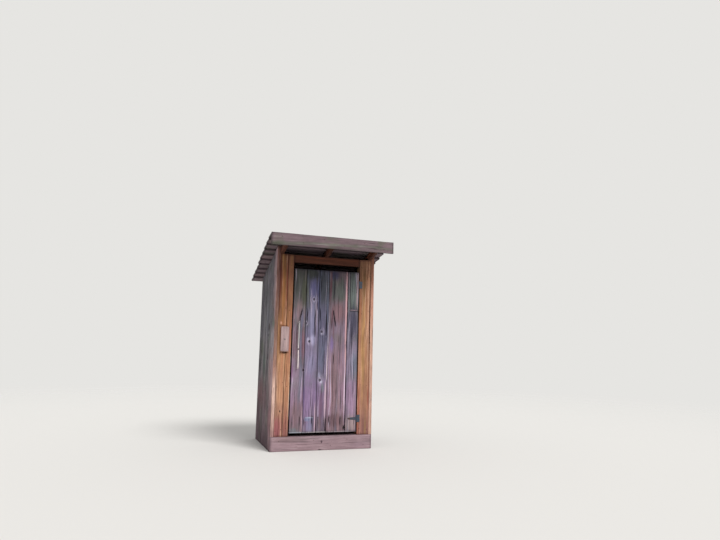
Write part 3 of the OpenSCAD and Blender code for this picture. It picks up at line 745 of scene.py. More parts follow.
def cut_away(board, cutters):
    """Cuts cutters out of a board and deletes them."""
    if not cutters:
        return
    tool = join(cutters)
    activate(board)
    modifier = board.modifiers.new("checks", "BOOLEAN")
    modifier.operation = "DIFFERENCE"
    modifier.solver = "EXACT"
    modifier.use_self = True
    modifier.object = tool
    bpy.ops.object.modifier_apply(modifier="checks")
    bpy.data.objects.remove(tool)
    # A cut can leave a face without area, which goes into the face across its longest edge
    with editing(board):
        for _ in range(3):
            pick(board, "edges", lambda e: any(f.calc_area() < 1e-10 and e.calc_length() >= max(
                side.calc_length() for side in f.edges) for f in e.link_faces))
            bpy.ops.mesh.dissolve_edges(use_verts=False)


def drive(model, spots):
    """Copies a model to each (point, direction), with its Z along the direction, and joins them."""
    copies = []
    for point, direction in spots:
        twin = model.copy()
        twin.data = model.data.copy()
        bpy.context.collection.objects.link(twin)
        turn = Vector(direction).to_track_quat("Z", "Y").to_matrix().to_4x4()
        twin.data.transform(Matrix.Translation(point) @ turn)
        copies.append(twin)
    bpy.data.objects.remove(model)
    return join(copies)


def finish_mesh(obj, name, look, angle=40):
    """Names a piece, gives it its material and smooths it below the angle."""
    activate(obj)
    obj.name = obj.data.name = name
    obj.data.materials.clear()
    obj.data.materials.append(FINISH[look])
    bpy.ops.object.shade_smooth_by_angle(angle=math.radians(angle))
    return obj


def dress(obj, node):
    """Makes a piece stand for a CAD node: it rides on the node's body, and the node is hidden."""
    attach(obj, BODY_OF[node])
    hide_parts(node)
    return obj


def solids(node):
    """Corners of each separate solid of a CAD node, in order of their centres."""
    mesh = frame["nodes"][node].data
    keys = [tuple(round(c, 5) for c in v.co) for v in mesh.vertices]
    parent = {key: key for key in keys}

    def root(key):
        while parent[key] != key:
            key = parent[key]
        return key

    for face in mesh.polygons:
        for i in face.vertices[1:]:
            parent[root(keys[i])] = root(keys[face.vertices[0]])
    shells = {}
    for key in parent:
        shells.setdefault(root(key), []).append(Vector(key))
    return sorted(shells.values(), key=lambda shell: tuple(sum(shell, Vector()) / len(shell)))


def extent(corners, axis):
    """Least and greatest coordinate of points along an axis."""
    values = [corner[axis] for corner in corners]
    return min(values), max(values)


def box_edges(corners):
    """Lowest corner of a box-like solid and its three edges: through, across and along."""
    start = min(corners, key=lambda c: (round(c.z, 4), round(c.y, 4), round(c.x, 4)))
    if len(corners) == NOTCHED:
        spans = [extent(corners, axis) for axis in range(3)]
        corners = [Vector((x, y, z)) for x in spans[0] for y in spans[1] for z in spans[2]]
        start = Vector([span[0] for span in spans])
    chosen = []
    for arm in sorted((c - start for c in corners), key=lambda arm: arm.length):
        if arm.length > 1e-4 and all(abs(arm.normalized().dot(other.normalized())) < 0.01
                                     for other in chosen):
            chosen.append(arm)
    return start, *chosen[:3]


def on_front(node, x, z):
    """Spot on the front of a node, at a part of its width and of its height, and the way out."""
    low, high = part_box(node)
    return (low.x + x * (high.x - low.x), low.y, low.z + z * (high.z - low.z)), OUT


def spindle(centre, size, seed, lean=0.0):
    """Cutter for a drying check: a thin spindle that wanders a little along its length."""
    cutter = shape(bpy.ops.mesh.primitive_uv_sphere_add, size, segments=8, ring_count=10,
                   radius=0.5)
    for vertex in cutter.data.vertices:
        vertex.co.x += lean * vertex.co.z
        vertex.co.x += 1.4 * size[0] * noise.noise(Vector((seed * 3.1, 0.0, vertex.co.z * 7)))
    cutter.data.transform(Matrix.Translation(centre))
    return cutter


def random_checks(rng, size, count, longest=0.35):
    """Checks on both faces of a board: thin grooves along the grain, and splits at the ends."""
    checks = []
    across, through, along = size
    for _ in range(count):
        high = rng.uniform(0.08, longest)
        checks.append((rng.uniform(-0.38, 0.38) * across, rng.choice((-0.5, 0.5)),
                       rng.uniform(-0.45, 0.45) * along, rng.uniform(0.002, 0.0045), GROOVE, high))
    for end in (-0.5, 0.5):
        if rng.random() < 0.6:
            checks.append((rng.uniform(-0.35, 0.35) * across, 0.0, end * along,
                           rng.uniform(0.002, 0.0035), 3 * through, rng.uniform(0.06, 0.24)))
    return checks


def checks_in(node, rng, count):
    """Random checks for every board of a node."""
    edges = [box_edges(corners) for corners in solids(node)]
    return [random_checks(rng, (across.length, through.length, along.length), count)
            for _, through, across, along in edges]


def new_board(size, seed, rings=None, wear=1.0, wave=1.0, cup=1.0):
    """Sawn board of size (across, through, along) round the origin, with worn edges, wandering
    sides and a slight cup. It is cut into rings along its length so that it can bend."""
    own = sizes()
    rings = rings or max(2, round(size[2] / own.ring_step))
    board = shape(bpy.ops.mesh.primitive_cube_add, size, size=1)
    with editing(board):
        for axis, cuts in ((2, rings), (0, 3)):
            pick(board, "edges", lambda e: along_axis(e, axis))
            bpy.ops.mesh.subdivide(number_cuts=cuts)
        break_edges(own.edge_wear * wear, 2, 50, 0.6)
    for vertex in board.data.vertices:
        x, _, z = vertex.co
        reach = abs(x) / (size[0] / 2)
        lane = math.copysign(11.0, x) + seed * 5.7
        drift = noise.noise(Vector((lane, 0.0, z * 2.2)))
        drift += 0.5 * noise.noise(Vector((lane, 3.0, z * 9))) - 0.35 * math.copysign(1, x)
        vertex.co.x += own.edge_wave * wave * reach ** 3 * drift
        vertex.co.y += own.cup * cup * (0.4 - reach ** 2) * math.sin(seed * 2.3 + 1)
        vertex.co.y += 0.4 * own.cup * cup * noise.noise(Vector((seed * 1.3, x * 6, z * 2.5)))
    return board


def put(board, centre, across, along):
    """Turns a board made round the origin to its directions and moves it there; returns how."""
    z = along.normalized()
    x = across.normalized()
    turn = Matrix.Translation(centre) @ Matrix((x, z.cross(x), z)).transposed().to_4x4()
    board.data.transform(turn)
    return turn


def vary(tone, rng, value=0.12, hue=0.05):
    """The same wood on another board: a little lighter or darker, warmer or cooler."""
    gain = 1 + rng.uniform(-value, value)
    warm = rng.uniform(-hue, hue)
    return [tone[0] * gain * (1 + warm), tone[1] * gain, tone[2] * gain * (1 - warm)]


def mark_board(board, turn, size, tone, rng):
    """Stores on a finished board its own coordinates for the grain, the place on the board and
    its colour; turn is what took the board from the origin to its place."""
    shift = Vector([rng.uniform(2, 18) for _ in range(3)])
    across, _, along = size
    back = turn.inverted()
    points = [back @ vertex.co for vertex in board.data.vertices]
    for name, kind, field, values in (
            ("grain", "FLOAT_VECTOR", "vector", [point + shift for point in points]),
            ("place", "FLOAT_VECTOR", "vector",
             [(2 * p.x / across, p.z + along / 2, along / 2 - p.z) for p in points]),
            ("tone", "FLOAT_COLOR", "color", [(*tone, 1.0)] * len(points))):
        layer = board.data.attributes.new(name, kind, "POINT")
        layer.data.foreach_set(field, [number for value in values for number in value])


def slope_top(board, corners):
    """Cuts the top of a board to the slope that its solid's highest corners give."""
    high, *_, low = sorted(corners, key=lambda c: -c.z)[:4]
    normal = Vector((0, high.z - low.z, low.y - high.y)).normalized()
    with editing(board):
        saw(high, normal * math.copysign(1, normal.z))


def notch_foot(board, corners):
    """Cuts the front of a wall plank's foot away over the end of the sill."""
    (left, right), (front, _), (ground, _) = (extent(corners, axis) for axis in range(3))
    back = min(c.y for c in corners if c.z < ground + NEAR)
    top = min(c.z for c in corners if c.z > ground + NEAR)
    cut_away(board, [block((left - 0.01, front - 0.01, ground - 0.01), (right + 0.01, back, top))])


def boards_of(node, look, tone, cuts=(), value=0.12, ragged=0.0, sloped=False, **worn):
    """Builds every solid of a node as a worn board, joins them and puts them in its place.

    tone    name of a colour in the sidebar, or a hex code
    cuts    checks of each board: across, through, along, width, depth, length and maybe lean
    value   how much lighter or darker one board may be than another
    ragged  how much shorter than its solid a board may be at each end
    worn    what new_board takes"""
    tone = linear(tone) if tone[0] == "#" else getattr(bpy.context.scene.outhouse_colours, tone)
    rng = random.Random(node)
    made = []
    for number, corners in enumerate(solids(node)):
        start, through, across, along = box_edges(corners)
        ends = rng.uniform(0, ragged), rng.uniform(0, ragged)
        size = (across.length, through.length, along.length - sum(ends))
        board = new_board(size, rng.uniform(0, 40), **worn)
        cut_away(board, [spindle((x, y * size[1], z), (w, d, h), rng.uniform(0, 9), *lean)
                         for x, y, z, w, d, h, *lean in (cuts[number] if cuts else ())])
        centre = start + (through + across + along) / 2
        centre += along.normalized() * (ends[0] - ends[1]) / 2
        turn = put(board, centre, across, along)
        if sloped:
            slope_top(board, corners)
        if len(corners) == NOTCHED:
            notch_foot(board, corners)
        mark_board(board, turn, size, vary(tone, rng, value), rng)
        made.append(board)
    return dress(finish_mesh(join(made), f"{node}_timber", look), node)


def nail():
    """One nail head: a disc with a worn rim and a slight hollow, 1 mm proud of the wood."""
    radius = sizes().nail_r
    head = shape(bpy.ops.mesh.primitive_cylinder_add, vertices=10, radius=radius,
                 depth=radius * 0.4)
    with editing(head):
        pick(head, "faces", lambda f: f.normal.z > 0.9)
        bpy.ops.mesh.inset(thickness=radius * 0.25, depth=radius * 0.08)
        bpy.ops.mesh.inset(thickness=radius * 0.2, depth=-radius * 0.06)
    return head


def screw_head(radius):
    """One slotted dome head, its base on the plane Z = 0."""
    head = shape(bpy.ops.mesh.primitive_uv_sphere_add, (radius, radius, radius * 0.5),
                 segments=20, ring_count=10, radius=1)
    cut_away(head, [block((-1.2 * radius, -0.13 * radius, 0.25 * radius),
                          (1.2 * radius, 0.13 * radius, radius))])
    return head


def photo_camera(x, y, z, yaw, pitch, roll):
    """Place and turn of the photograph's camera, from metres and degrees."""
    turn = Matrix.Translation((x, FRONT_Y + y, z))
    for angle, axis in ((-yaw, "Z"), (90 + pitch, "X"), (roll, "Z")):
        turn @= Matrix.Rotation(math.radians(angle), 4, axis)
    return turn


class OUTHOUSE_OT_stage(bpy.types.Operator):
    """Adds the floor, the light and the photograph's camera."""
    bl_idname = "outhouse.stage"
    bl_label = "Stage"

    def execute(self, context):
        scene = context.scene
        scene.view_settings.view_transform = "Standard"
        camera = bpy.data.objects.new("camera", bpy.data.cameras.new("camera"))
        camera.data.sensor_width = 36.0
        camera.data.lens = 28.0
        camera.data.clip_end = 200
        camera.matrix_world = photo_camera(*PHOTO_LOOK)
        scene.camera = camera
        sun = bpy.data.objects.new("sun", bpy.data.lights.new("sun", "SUN"))
        sun.data.energy = 2.3
        sun.data.angle = math.radians(26)
        sun.rotation_euler = (math.radians(40), 0, math.radians(22))
        for obj in (camera, sun):
            scene.collection.objects.link(obj)
        floor = shape(bpy.ops.mesh.primitive_circle_add, vertices=96, radius=FLOOR_R,
                      fill_type="NGON")
        floor.name = "stage_floor"
        floor.data.materials.append(self.pale_floor(scene.outhouse_colours.floor))
        scene.world = self.pale_world()
        return {"FINISHED"}

    def pale_floor(self, tone):
        """Matt pale floor that fades into the background far from the object."""
        material, add, shader = new_material("pale_floor")
        feed(shader, {"Base Color": rgba(tone), "Roughness": 0.9})
        where = add("TexCoord", out="Object")
        away = add("VectorMath LENGTH", [where], "Value")
        fade = add("MapRange", [away, 3.0, FLOOR_R - 0.5], **SOFT)
        clear = add("BsdfTransparent")
        mix = add("MixShader", [fade, shader.outputs[0], clear])
        feed(material.node_tree.nodes["Material Output"], {"Surface": mix})
        return material

    def pale_world(self):
        """Even studio light; what the camera, glass and metal see is plain pale."""
        world = bpy.data.worlds.new("studio")
        world.use_nodes = True
        world.node_tree.nodes.clear()
        add = functools.partial(add_node, world.node_tree)
        rays = add("LightPath", out=None).outputs
        seen = rays["Is Camera Ray"]
        for kind in ("Is Glossy Ray", "Is Transmission Ray"):
            seen = add("Math MAXIMUM", [seen, rays[kind]])
        light = add("Background", {"Color": (1, 1, 1, 1), "Strength": 0.60})
        back = add("Background", {"Color": rgba("#e6e5e2"), "Strength": 1.0})
        mix = add("MixShader", [seen, light, back])
        add("OutputWorld", {"Surface": mix}, None)
        return world


class OUTHOUSE_OT_base(bpy.types.Operator):
    """Builds the sills, the floor joists and the floor boards."""
    bl_idname = "outhouse.base"
    bl_label = "Sills and floor"

    def execute(self, context):
        long, through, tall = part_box("front_sill")[1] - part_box("front_sill")[0]
        checks = random_checks(random.Random("sill"), (tall, through, long), 5, 0.5)
        boards_of("front_sill", "sill", "sill", [checks], wear=1.5)
        for node in ("back_sill", "left_sill", "right_sill", "floor_joists"):
            boards_of(node, "lumber", "lumber", **STRAIGHT)
        boards_of("floor_boards", "wall", "wall")
        return {"FINISHED"}


class OUTHOUSE_OT_framing(bpy.types.Operator):
    """Builds the posts, studs, beam, plate, blocking and girts."""
    bl_idname = "outhouse.framing"
    bl_label = "Frame"

    def execute(self, context):
        for node in ("front_left_post", "front_right_post", "back_left_post", "back_right_post",
                     "left_door_stud", "right_door_stud", "back_plate", "left_girt", "right_girt",
                     "back_girt"):
            boards_of(node, "lumber", "lumber", **STRAIGHT)
        boards_of("front_beam", "header", "header", **STRAIGHT)
        boards_of("back_blocking", "lumber", "lumber", sloped=True, **STRAIGHT)
        return {"FINISHED"}


class OUTHOUSE_OT_walls(bpy.types.Operator):
    """Builds the plank walls, with drying checks and sloping tops."""
    bl_idname = "outhouse.walls"
    bl_label = "Walls"

    def execute(self, context):
        for node, look in (("left_wall", "wall_side"), ("right_wall", "wall"),
                           ("back_wall", "wall")):
            cuts = checks_in(node, random.Random(node + "checks"), 8)
            wall = boards_of(node, look, "wall", cuts, value=0.18, wave=1.6,
                             sloped=node != "back_wall")
            # The ends of the side walls show in the front
            wall.data.materials.append(FINISH["corner"])
            for face in wall.data.polygons:
                if face.normal.y < -0.7 and face.center.y < FRONT_Y + 0.004:
                    face.material_index = 1
        return {"FINISHED"}


class OUTHOUSE_OT_front_trim(bpy.types.Operator):
    """Builds the jamb boards, the strip and the header."""
    bl_idname = "outhouse.front_trim"
    bl_label = "Front trim"

    def execute(self, context):
        for node in ("left_jamb_board", "left_jamb_strip", "right_jamb_board"):
            low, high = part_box(node)
            look = "left_jamb"
            checks = random_checks(random.Random(node + "checks"), high - low, 4, 0.5)
            if node == "right_jamb_board":
                look, middle = "right_jamb", (low + high) / 2
                x, z, wide, tall = JAMB_CRACK
                checks.append((x - middle.x, -0.5, z - middle.z, wide, GROOVE, tall))
            boards_of(node, look, "jamb", [checks], value=0.03)
        boards_of("header_board", "header", "header", value=0.05)
        return {"FINISHED"}


class OUTHOUSE_OT_roof(bpy.types.Operator):
    """Builds the rafters with their notches, the lapped roof boards and the fascia."""
    bl_idname = "outhouse.roof"
    bl_label = "Roof"

    def execute(self, context):
        self.rafters(context.scene.outhouse_colours.header)
        cuts = checks_in("roof_boards", random.Random("roof"), 5)
        boards_of("roof_boards", "roof", "roof", cuts, value=0.18, cup=0.6, ragged=0.012)
        boards_of("fascia_board", "roof", "roof", value=0.05)
        return {"FINISHED"}

    def rafters(self, tone):
        """Sloping timbers with plumb ends, notched over the beam and the plate."""
        rng = random.Random("rafters")
        low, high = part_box("rafters")
        made = []
        for corners in solids("rafters"):
            front, back = ([c.z for c in corners if abs(c.y - end) < NEAR]
                           for end in (low.y, high.y))
            rise = max(front) - min(front)
            along = Vector((0, high.y - low.y, min(back) - min(front)))
            left, right = extent(corners, 0)
            middle = Vector(((left + right) / 2, (low.y + high.y) / 2,
                             (min(front) + min(back) + rise) / 2))
            size = (rise * along.y / along.length, right - left, along.length + 0.1)
            board = new_board(size, rng.uniform(0, 40), wave=0.4, cup=0.3)
            turn = put(board, middle, along.cross((1, 0, 0)), along)
            with editing(board):
                for end, out in ((low.y, -1), (high.y, 1)):
                    saw((0, end, 0), (0, out, 0))
            cut_away(board, [self.notch(node, middle.x, right - left)
                             for node in ("front_beam", "back_plate")])
            mark_board(board, turn, size, vary(tone, rng), rng)
            made.append(board)
        dress(finish_mesh(join(made), "rafters_timber", "header", 30), "rafters")

    def notch(self, node, x, width):
        """Block where a rafter sits on a beam, with room below and in front of it."""
        low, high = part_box(node)
        front = FRONT_Y - 0.001 if node == "front_beam" else low.y
        return block((x - width, front, high.z - 0.2), (x + width, high.y, high.z))


class OUTHOUSE_OT_door(bpy.types.Operator):
    """Builds the door's planks with their checks and knot hole, the patch, ledges and brace."""
    bl_idname = "outhouse.door"
    bl_label = "Door"

    def execute(self, context):
        for i, code in enumerate(DOOR_TONES):
            node = f"door_board_{i + 1}"
            low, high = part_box(node)
            middle = (low + high) / 2
            cuts = [(x / 1000 - middle.x, -0.5, z / 1000 - middle.z, wide / 1000, 0.02,
                     tall / 1000, *lean)
                    for plank, x, z, wide, tall, *lean in DOOR_CHECKS if plank == i]
            up, wide, tall = KNOT_HOLE
            knot = (0.0, low.z + up - middle.z, wide, THROUGH, tall)
            up, wide, tall = FOOT_GAP
            gap = (0.0, up - middle.z, wide, THROUGH, tall)
            if i == 2:
                cuts.insert(0, (high.x - middle.x + 0.002, *knot))
            if i == 3:
                cuts += [(low.x - middle.x, *knot), (high.x - middle.x, *gap)]
            if i == 4:
                cuts.append((low.x - middle.x, *gap))
            board = boards_of(node, "door", code, [cuts], value=0.02, wear=1.3)
            board.data.transform(Matrix.Translation((0, -DOOR_STEPS[i], 0)))
        boards_of("door_patch", "door", "#75776f", value=0.02)
        for node in ("upper_ledge", "lower_ledge"):
            boards_of(node, "door", DOOR_BACK)
        self.brace()
        return {"FINISHED"}

    def brace(self):
        """Diagonal board whose ends are cut level against the ledges."""
        low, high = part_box("door_brace")
        corners = solids("door_brace")[0]
        foot, top = ([c.x for c in corners if abs(c.z - end) < NEAR] for end in (low.z, high.z))
        along = Vector((min(top) - min(foot), 0, high.z - low.z))
        level = max(foot) - min(foot)
        size = (level * along.z / along.length, high.y - low.y, along.length + 2 * level)
        board = new_board(size, 3.0)
        turn = put(board, (low + high) / 2, Vector((along.z, 0, -along.x)), along)
        with editing(board):
            for end, out in ((low.z, -1), (high.z, 1)):
                saw((0, 0, end), (0, 0, out))
        mark_board(board, turn, size, linear(DOOR_BACK), random.Random("brace"))
        dress(finish_mesh(board, "door_brace_timber", "door"), "door_brace")


class OUTHOUSE_OT_hinges(bpy.types.Operator):
    """Builds the two T hinges: straps, jamb leaves, knuckles, pins and screws."""
    bl_idname = "outhouse.hinges"
    bl_label = "Hinges"

    def execute(self, context):
        for level in ("upper", "lower"):
            self.strap(f"{level}_hinge_strap")
            self.leaf(f"{level}_hinge_leaf", *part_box(f"{level}_hinge_strap"))
        return {"FINISHED"}

    def knuckle(self, pin, low, high):
        """Rolled knuckle with a broken edge; the end of the pin is a sunk disc in it."""
        radius = sizes().knuckle_r
        tube = shape(bpy.ops.mesh.primitive_cylinder_add, centre=(*pin, (low + high) / 2),
                     vertices=24, radius=radius, depth=high - low)
        with editing(tube):
            pick(tube, "edges", lambda e: abs(e.verts[0].co.z - e.verts[1].co.z) < 1e-5)
            bpy.ops.mesh.bevel(offset=0.0005, segments=2, affect="EDGES")
            for side in (-1, 1):
                pick(tube, "faces", lambda f: f.normal.z * side > 0.999)
                bpy.ops.mesh.inset(thickness=radius * 0.4, depth=-0.0006)
        return tube

    def fit(self, node, plate, pin, rolls, screws):
        """Adds the knuckles and the screws to a plate and finishes the piece."""
        spots = [((x, FRONT_Y - sizes().plate, z), OUT) for x, z in screws]
        pieces = [plate, *(self.knuckle(pin, *roll) for roll in rolls)]
        pieces.append(drive(screw_head(sizes().screw_r), spots))
        dress(finish_mesh(join(pieces), f"{node}_metal", "steel", 35), node)

    def strap(self, node):
        """Tapered strap with a round tip, its knuckle and three screws."""
        low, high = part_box(node)
        own, z = sizes(), (low.z + high.z) / 2
        pin = (high.x - own.knuckle_r, low.y + own.knuckle_r)
        plate = block((low.x, FRONT_Y - own.plate, low.z), (pin[0] - own.plate, FRONT_Y, high.z))
        with editing(plate):
            pick(plate, "verts", lambda v: v.co.x < low.x + NEAR)
            bpy.ops.transform.resize(value=(1, 1, TIP_R / (z - low.z)),
                                     center_override=(low.x, FRONT_Y, z))
            pick(plate, "edges", lambda e: all(v.co.x < low.x + NEAR for v in e.verts)
                 and along_axis(e, 1))
            bpy.ops.mesh.bevel(offset=TIP_R - 0.0002, segments=8, affect="EDGES")
            break_edges(own.arris, 1)
        reach = pin[0] - low.x
        self.fit(node, plate, pin, [(low.z, high.z)], [
            (pin[0] - reach * part, z + lift)
            for part, lift in ((0.24, 0.010), (0.24, -0.010), (0.56, 0.0), (0.88, 0.0))])

    def leaf(self, node, strap_low, strap_high):
        """Jamb leaf: a plate with rounded corners whose two lugs reach to the knuckles."""
        low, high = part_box(node)
        own, z = sizes(), (low.z + high.z) / 2
        pin = (low.x + own.knuckle_r, low.y + own.knuckle_r)
        edge = pin[0] + own.knuckle_r + own.plate
        lugs = ((low.z, strap_low.z - 0.0004), (strap_high.z + 0.0004, high.z))
        plate = block((edge, FRONT_Y - own.plate, low.z), (high.x, FRONT_Y, high.z))
        with editing(plate):
            for height in (lugs[0][1], lugs[1][0]):
                saw((0, 0, height), (0, 0, 1), off=False)
            pick(plate, "faces", lambda f: f.normal.x < -0.9
                 and abs(f.calc_center_median().z - z) > strap_high.z - z)
            bpy.ops.mesh.extrude_region_move(
                TRANSFORM_OT_translate={"value": (pin[0] - edge, 0, 0)})
            pick(plate, "edges", lambda e: along_axis(e, 1) and e.verts[0].co.x > high.x - 1e-5
                 and abs(e.verts[0].co.z - z) > high.z - z - 1e-5)
            bpy.ops.mesh.bevel(offset=0.004, segments=5, affect="EDGES")
            break_edges(own.arris, 1)
        self.fit(node, plate, pin, lugs, [
            (pin[0] + reach, z + lift)
            for reach, lift in ((0.018, -0.032), (0.031, -0.012), (0.018, 0.032), (0.031, 0.012))])


class OUTHOUSE_OT_handle(bpy.types.Operator):
    """Builds the stick handle with its pegs, wire and nails."""
    bl_idname = "outhouse.handle"
    bl_label = "Handle"

    def execute(self, context):
        low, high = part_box("door_handle")
        thick = (high.x - low.x) / 2
        x, y = (low.x + high.x) / 2, low.y + thick
        pieces = [self.stick(x, y, low.z, high.z, thick)]
        pieces += [self.peg(x, y, z) for z in (low.z + 0.008, HANDLE_JOINT, high.z - 0.012)]
        dress(finish_mesh(join(pieces), "door_handle_stick", "stick", 60), "door_handle")
        coil = self.wire(x, y, thick * 0.72)
        heads = drive(nail(), [((x, y - thick * 0.72, low.z + 0.012), OUT),
                               ((x, y - thick * 0.95, high.z - 0.014), OUT)])
        obj = finish_mesh(join([coil, heads]), "handle_wire", "iron", 60)
        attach(obj, "door")
        return {"FINISHED"}

    def stick(self, x, y, z0, z1, thick):
        """Stick turned from a cylinder: thin below the joint, thick above, with slight bends."""
        stick = shape(bpy.ops.mesh.primitive_cylinder_add, vertices=16, radius=1, depth=z1 - z0,
                      end_fill_type="TRIFAN")
        with editing(stick):
            pick(stick, "edges", lambda e: along_axis(e, 2))
            bpy.ops.mesh.subdivide(number_cuts=60)
        half = (z1 - z0) / 2
        for vertex in stick.data.vertices:
            z = vertex.co.z + half + z0
            if z < HANDLE_JOINT:
                radius = thick * (0.66 + 0.10 * (HANDLE_JOINT - z) / (HANDLE_JOINT - z0))
            else:
                swell = min(1.0, (z - HANDLE_JOINT) / 0.08)
                radius = thick * (0.62 + 0.34 * swell * swell * (3 - 2 * swell))
            end = min(z - z0, z1 - z)
            radius *= math.sqrt(max(0.05, min(1.0, 0.25 + end / 0.012)))
            radius *= 1 + 0.07 * noise.noise(Vector((vertex.co.x * 2, vertex.co.y * 2, z * 30)))
            vertex.co.x = vertex.co.x * radius + 0.0012 * math.sin(z * 14) + x
            vertex.co.y = vertex.co.y * radius + 0.0010 * math.sin(z * 17 + 1) + y
            vertex.co.z = z
        return stick

    def peg(self, x, y, z):
        """Peg that holds the stick off the door, wider where it meets the plank."""
        peg = shape(bpy.ops.mesh.primitive_cylinder_add, centre=(x, (FRONT_Y + y) / 2, z),
                    turn=LYING, vertices=14, radius=0.004, depth=FRONT_Y - y)
        with editing(peg):
            pick(peg, "verts", lambda v: v.co.y > FRONT_Y - NEAR)
            bpy.ops.transform.resize(value=(1.4, 1, 1.5), center_override=(x, FRONT_Y, z))
        return peg

    def wire(self, x, y, radius):
        """Dark wire wound six times round the joint of the stick."""
        wire_r = sizes().wire_r
        rise = wire_r * 2.3
        coil = shape(bpy.ops.mesh.primitive_circle_add, centre=(radius, 0, -3 * rise), turn=LYING,
                     vertices=8, radius=wire_r)
        turns = coil.modifiers.new("turns", "SCREW")
        turns.screw_offset = rise
        turns.iterations = 6
        turns.steps = turns.render_steps = 24
        bpy.ops.object.modifier_apply(modifier="turns")
        with editing(coil):
            bpy.ops.mesh.fill_holes(sides=8)
            bpy.ops.mesh.normals_make_consistent(inside=False)
        coil.data.transform(Matrix.Translation((x, y, HANDLE_JOINT)))
        return coil


class OUTHOUSE_OT_turn_button(bpy.types.Operator):
    """Builds the turn button, its washer and its screw."""
    bl_idname = "outhouse.turn_button"
    bl_label = "Turn button"

    def execute(self, context):
        low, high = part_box("turn_button")
        self.button(low, high, context.scene.outhouse_colours.button)
        self.screw(low.y, high.y)
        return {"FINISHED"}

    def button(self, low, high, tone):
        """Offcut of board with whittled corners."""
        size = tuple(high - low)
        board = new_board(size, 5.0, rings=14, cup=0.5, wave=0.6)
        mark_board(board, Matrix(), size, tone, random.Random("button"))
        for vertex in board.data.vertices:
            x, _, z = vertex.co
            over = abs(x) + abs(z) - (size[0] + size[2]) / 2 + 0.007
            if over > 0:
                vertex.co.x -= math.copysign(over / 2, x)
                vertex.co.z -= math.copysign(over / 2, z)
        board.data.transform(Matrix.Translation((low + high) / 2))
        dress(finish_mesh(board, "turn_button_board", "button"), "turn_button")

    def screw(self, front, back):
        """Coach screw with a slotted dome head over a washer, and the washer behind the button."""
        low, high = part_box("turn_button_screw")
        x, z = (low.x + high.x) / 2, (low.z + high.z) / 2
        washer_front = front - 0.0018
        pieces = [drive(screw_head(0.008), [((x, washer_front, z), OUT)])]
        for y0, y1, radius in ((washer_front, front - 0.0003, 0.0115),
                               (back + 0.0003, FRONT_Y, 0.012)):
            washer = shape(bpy.ops.mesh.primitive_cylinder_add, centre=(x, (y0 + y1) / 2, z),
                           turn=LYING, vertices=32, radius=radius, depth=y1 - y0)
            with editing(washer):
                break_edges(sizes().arris, 2)
            pieces.append(washer)
        dress(finish_mesh(join(pieces), "turn_button_fixing", "zinc", 35), "turn_button_screw")


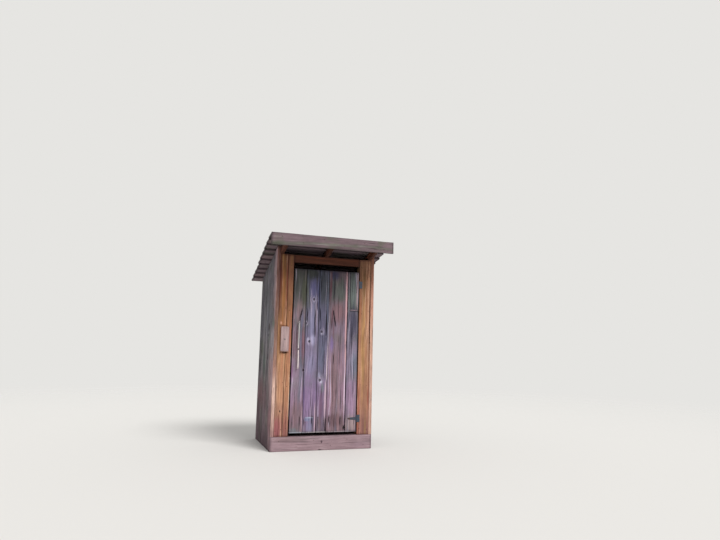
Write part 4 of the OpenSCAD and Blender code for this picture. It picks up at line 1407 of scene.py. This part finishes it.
class OUTHOUSE_OT_nails(bpy.types.Operator):
    """Drives the nails of the door, the walls, the trim and the roof."""
    bl_idname = "outhouse.nails"
    bl_label = "Nails"

    def execute(self, context):
        for name, spots, body in (("door_nails", self.door_spots(), "door"),
                                  ("wall_nails", self.wall_spots(), "cabin"),
                                  ("trim_nails", self.trim_spots(), "cabin"),
                                  ("roof_nails", self.roof_spots(), "cabin")):
            obj = finish_mesh(drive(nail(), spots), name, "iron", 60)
            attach(obj, body)
        return {"FINISHED"}

    def door_spots(self):
        """Two nails in each plank at each ledge, but one in the fifth; six in the patch."""
        rng = random.Random("door nails")
        spots = []
        for i, step in enumerate(DOOR_STEPS):
            low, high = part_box(f"door_board_{i + 1}")
            for z in LEDGE_Z[:1] if i == 4 else LEDGE_Z:
                for part in PAIR[:1] if i == 4 else PAIR:
                    spots.append(((low.x + (high.x - low.x) * part, FRONT_Y - step,
                                   z + rng.uniform(-0.035, 0.035)), OUT))
        patch = ((0.2, 0.06), (0.8, 0.07), (0.25, 0.5), (0.75, 0.48), (0.2, 0.93), (0.8, 0.94))
        return spots + [on_front("door_patch", *parts) for parts in patch]

    def wall_spots(self):
        """Two nails in each plank at the sill, the girt and the top."""
        rng = random.Random("wall nails")
        spots = []
        for node, axis, out in (("left_wall", 0, -1), ("right_wall", 0, 1), ("back_wall", 1, 1)):
            face = extent(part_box(node), axis)[out > 0]
            direction = Vector((out, 0, 0) if axis == 0 else (0, out, 0))
            for corners in solids(node):
                start, _, across, _ = box_edges(corners)
                for z in (SILL_ROW, GIRT_ROW, min(c.z for c in corners if c.z > 1) - 0.05):
                    for part in PAIR:
                        point = start + across * part
                        point[axis] = face
                        point.z = z + rng.uniform(-0.02, 0.02)
                        spots.append((point, direction))
        return spots

    def trim_spots(self):
        """Nails of the jamb boards, the header, the sill and the fascia."""
        rng = random.Random("trim nails")
        spots = []
        for node in ("left_jamb_board", "left_jamb_strip", "right_jamb_board"):
            low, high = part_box(node)
            for z in TRIM_ROWS:
                for part in (0.5,) if high.x - low.x < 0.08 else (0.2, 0.8):
                    x = low.x + part * (high.x - low.x) + rng.uniform(-0.006, 0.006)
                    spots.append(((x, FRONT_Y, z + rng.uniform(-0.03, 0.03)), OUT))
        rows = (("header_board", 4), ("front_sill", 6), ("fascia_board", 6))
        return spots + [on_front(node, (i + 0.5) / count, 0.3 if i % 2 else 0.7)
                        for node, count in rows for i in range(count)]

    def roof_spots(self):
        """Two nails in each roof board over each rafter."""
        spots = []
        rafters = [sum(corners, Vector()).x / len(corners) for corners in solids("rafters")]
        for corners in solids("roof_boards"):
            _, through, across, _ = box_edges(corners)
            upward = through * math.copysign(1, through.z)
            slope = across * math.copysign(1, across.y)
            centre = sum(corners, Vector()) / len(corners) + upward / 2
            spots += [(Vector((x + 0.01 * part, centre.y, centre.z)) + slope * part, upward)
                      for x in rafters for part in (0.28, 0.05)]
        return spots


OPERATORS = (OUTHOUSE_OT_stage, OUTHOUSE_OT_base, OUTHOUSE_OT_framing, OUTHOUSE_OT_walls,
             OUTHOUSE_OT_front_trim, OUTHOUSE_OT_roof, OUTHOUSE_OT_door, OUTHOUSE_OT_hinges,
             OUTHOUSE_OT_handle, OUTHOUSE_OT_turn_button, OUTHOUSE_OT_nails)


class OUTHOUSE_PT_sidebar(bpy.types.Panel):
    """Lists the steps that build the outhouse, and its sizes and colours."""
    bl_idname = "OUTHOUSE_PT_sidebar"
    bl_label = "Outhouse"
    bl_space_type = "VIEW_3D"
    bl_region_type = "UI"
    bl_category = "Outhouse"

    def draw(self, context):
        for step in OPERATORS:
            self.layout.operator(step.bl_idname)
        for group in (context.scene.outhouse_sizes, context.scene.outhouse_colours):
            box = self.layout.box()
            for name in group.__annotations__:
                box.prop(group, name)


CLASSES = (OuthouseSizes, OuthouseColours, *OPERATORS, OUTHOUSE_PT_sidebar)


def register():
    for cls in CLASSES:
        bpy.utils.register_class(cls)
    bpy.types.Scene.outhouse_sizes = bpy.props.PointerProperty(type=OuthouseSizes)
    bpy.types.Scene.outhouse_colours = bpy.props.PointerProperty(type=OuthouseColours)


def unregister():
    del bpy.types.Scene.outhouse_colours
    del bpy.types.Scene.outhouse_sizes
    for cls in reversed(CLASSES):
        bpy.utils.unregister_class(cls)


def main():
    """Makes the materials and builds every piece."""
    register()
    FINISH.update(finishes(bpy.context.scene.outhouse_colours))
    for step in OPERATORS:
        group, name = step.bl_idname.split(".")
        getattr(getattr(bpy.ops, group), name)()


if __name__ == "__main__":
    main()
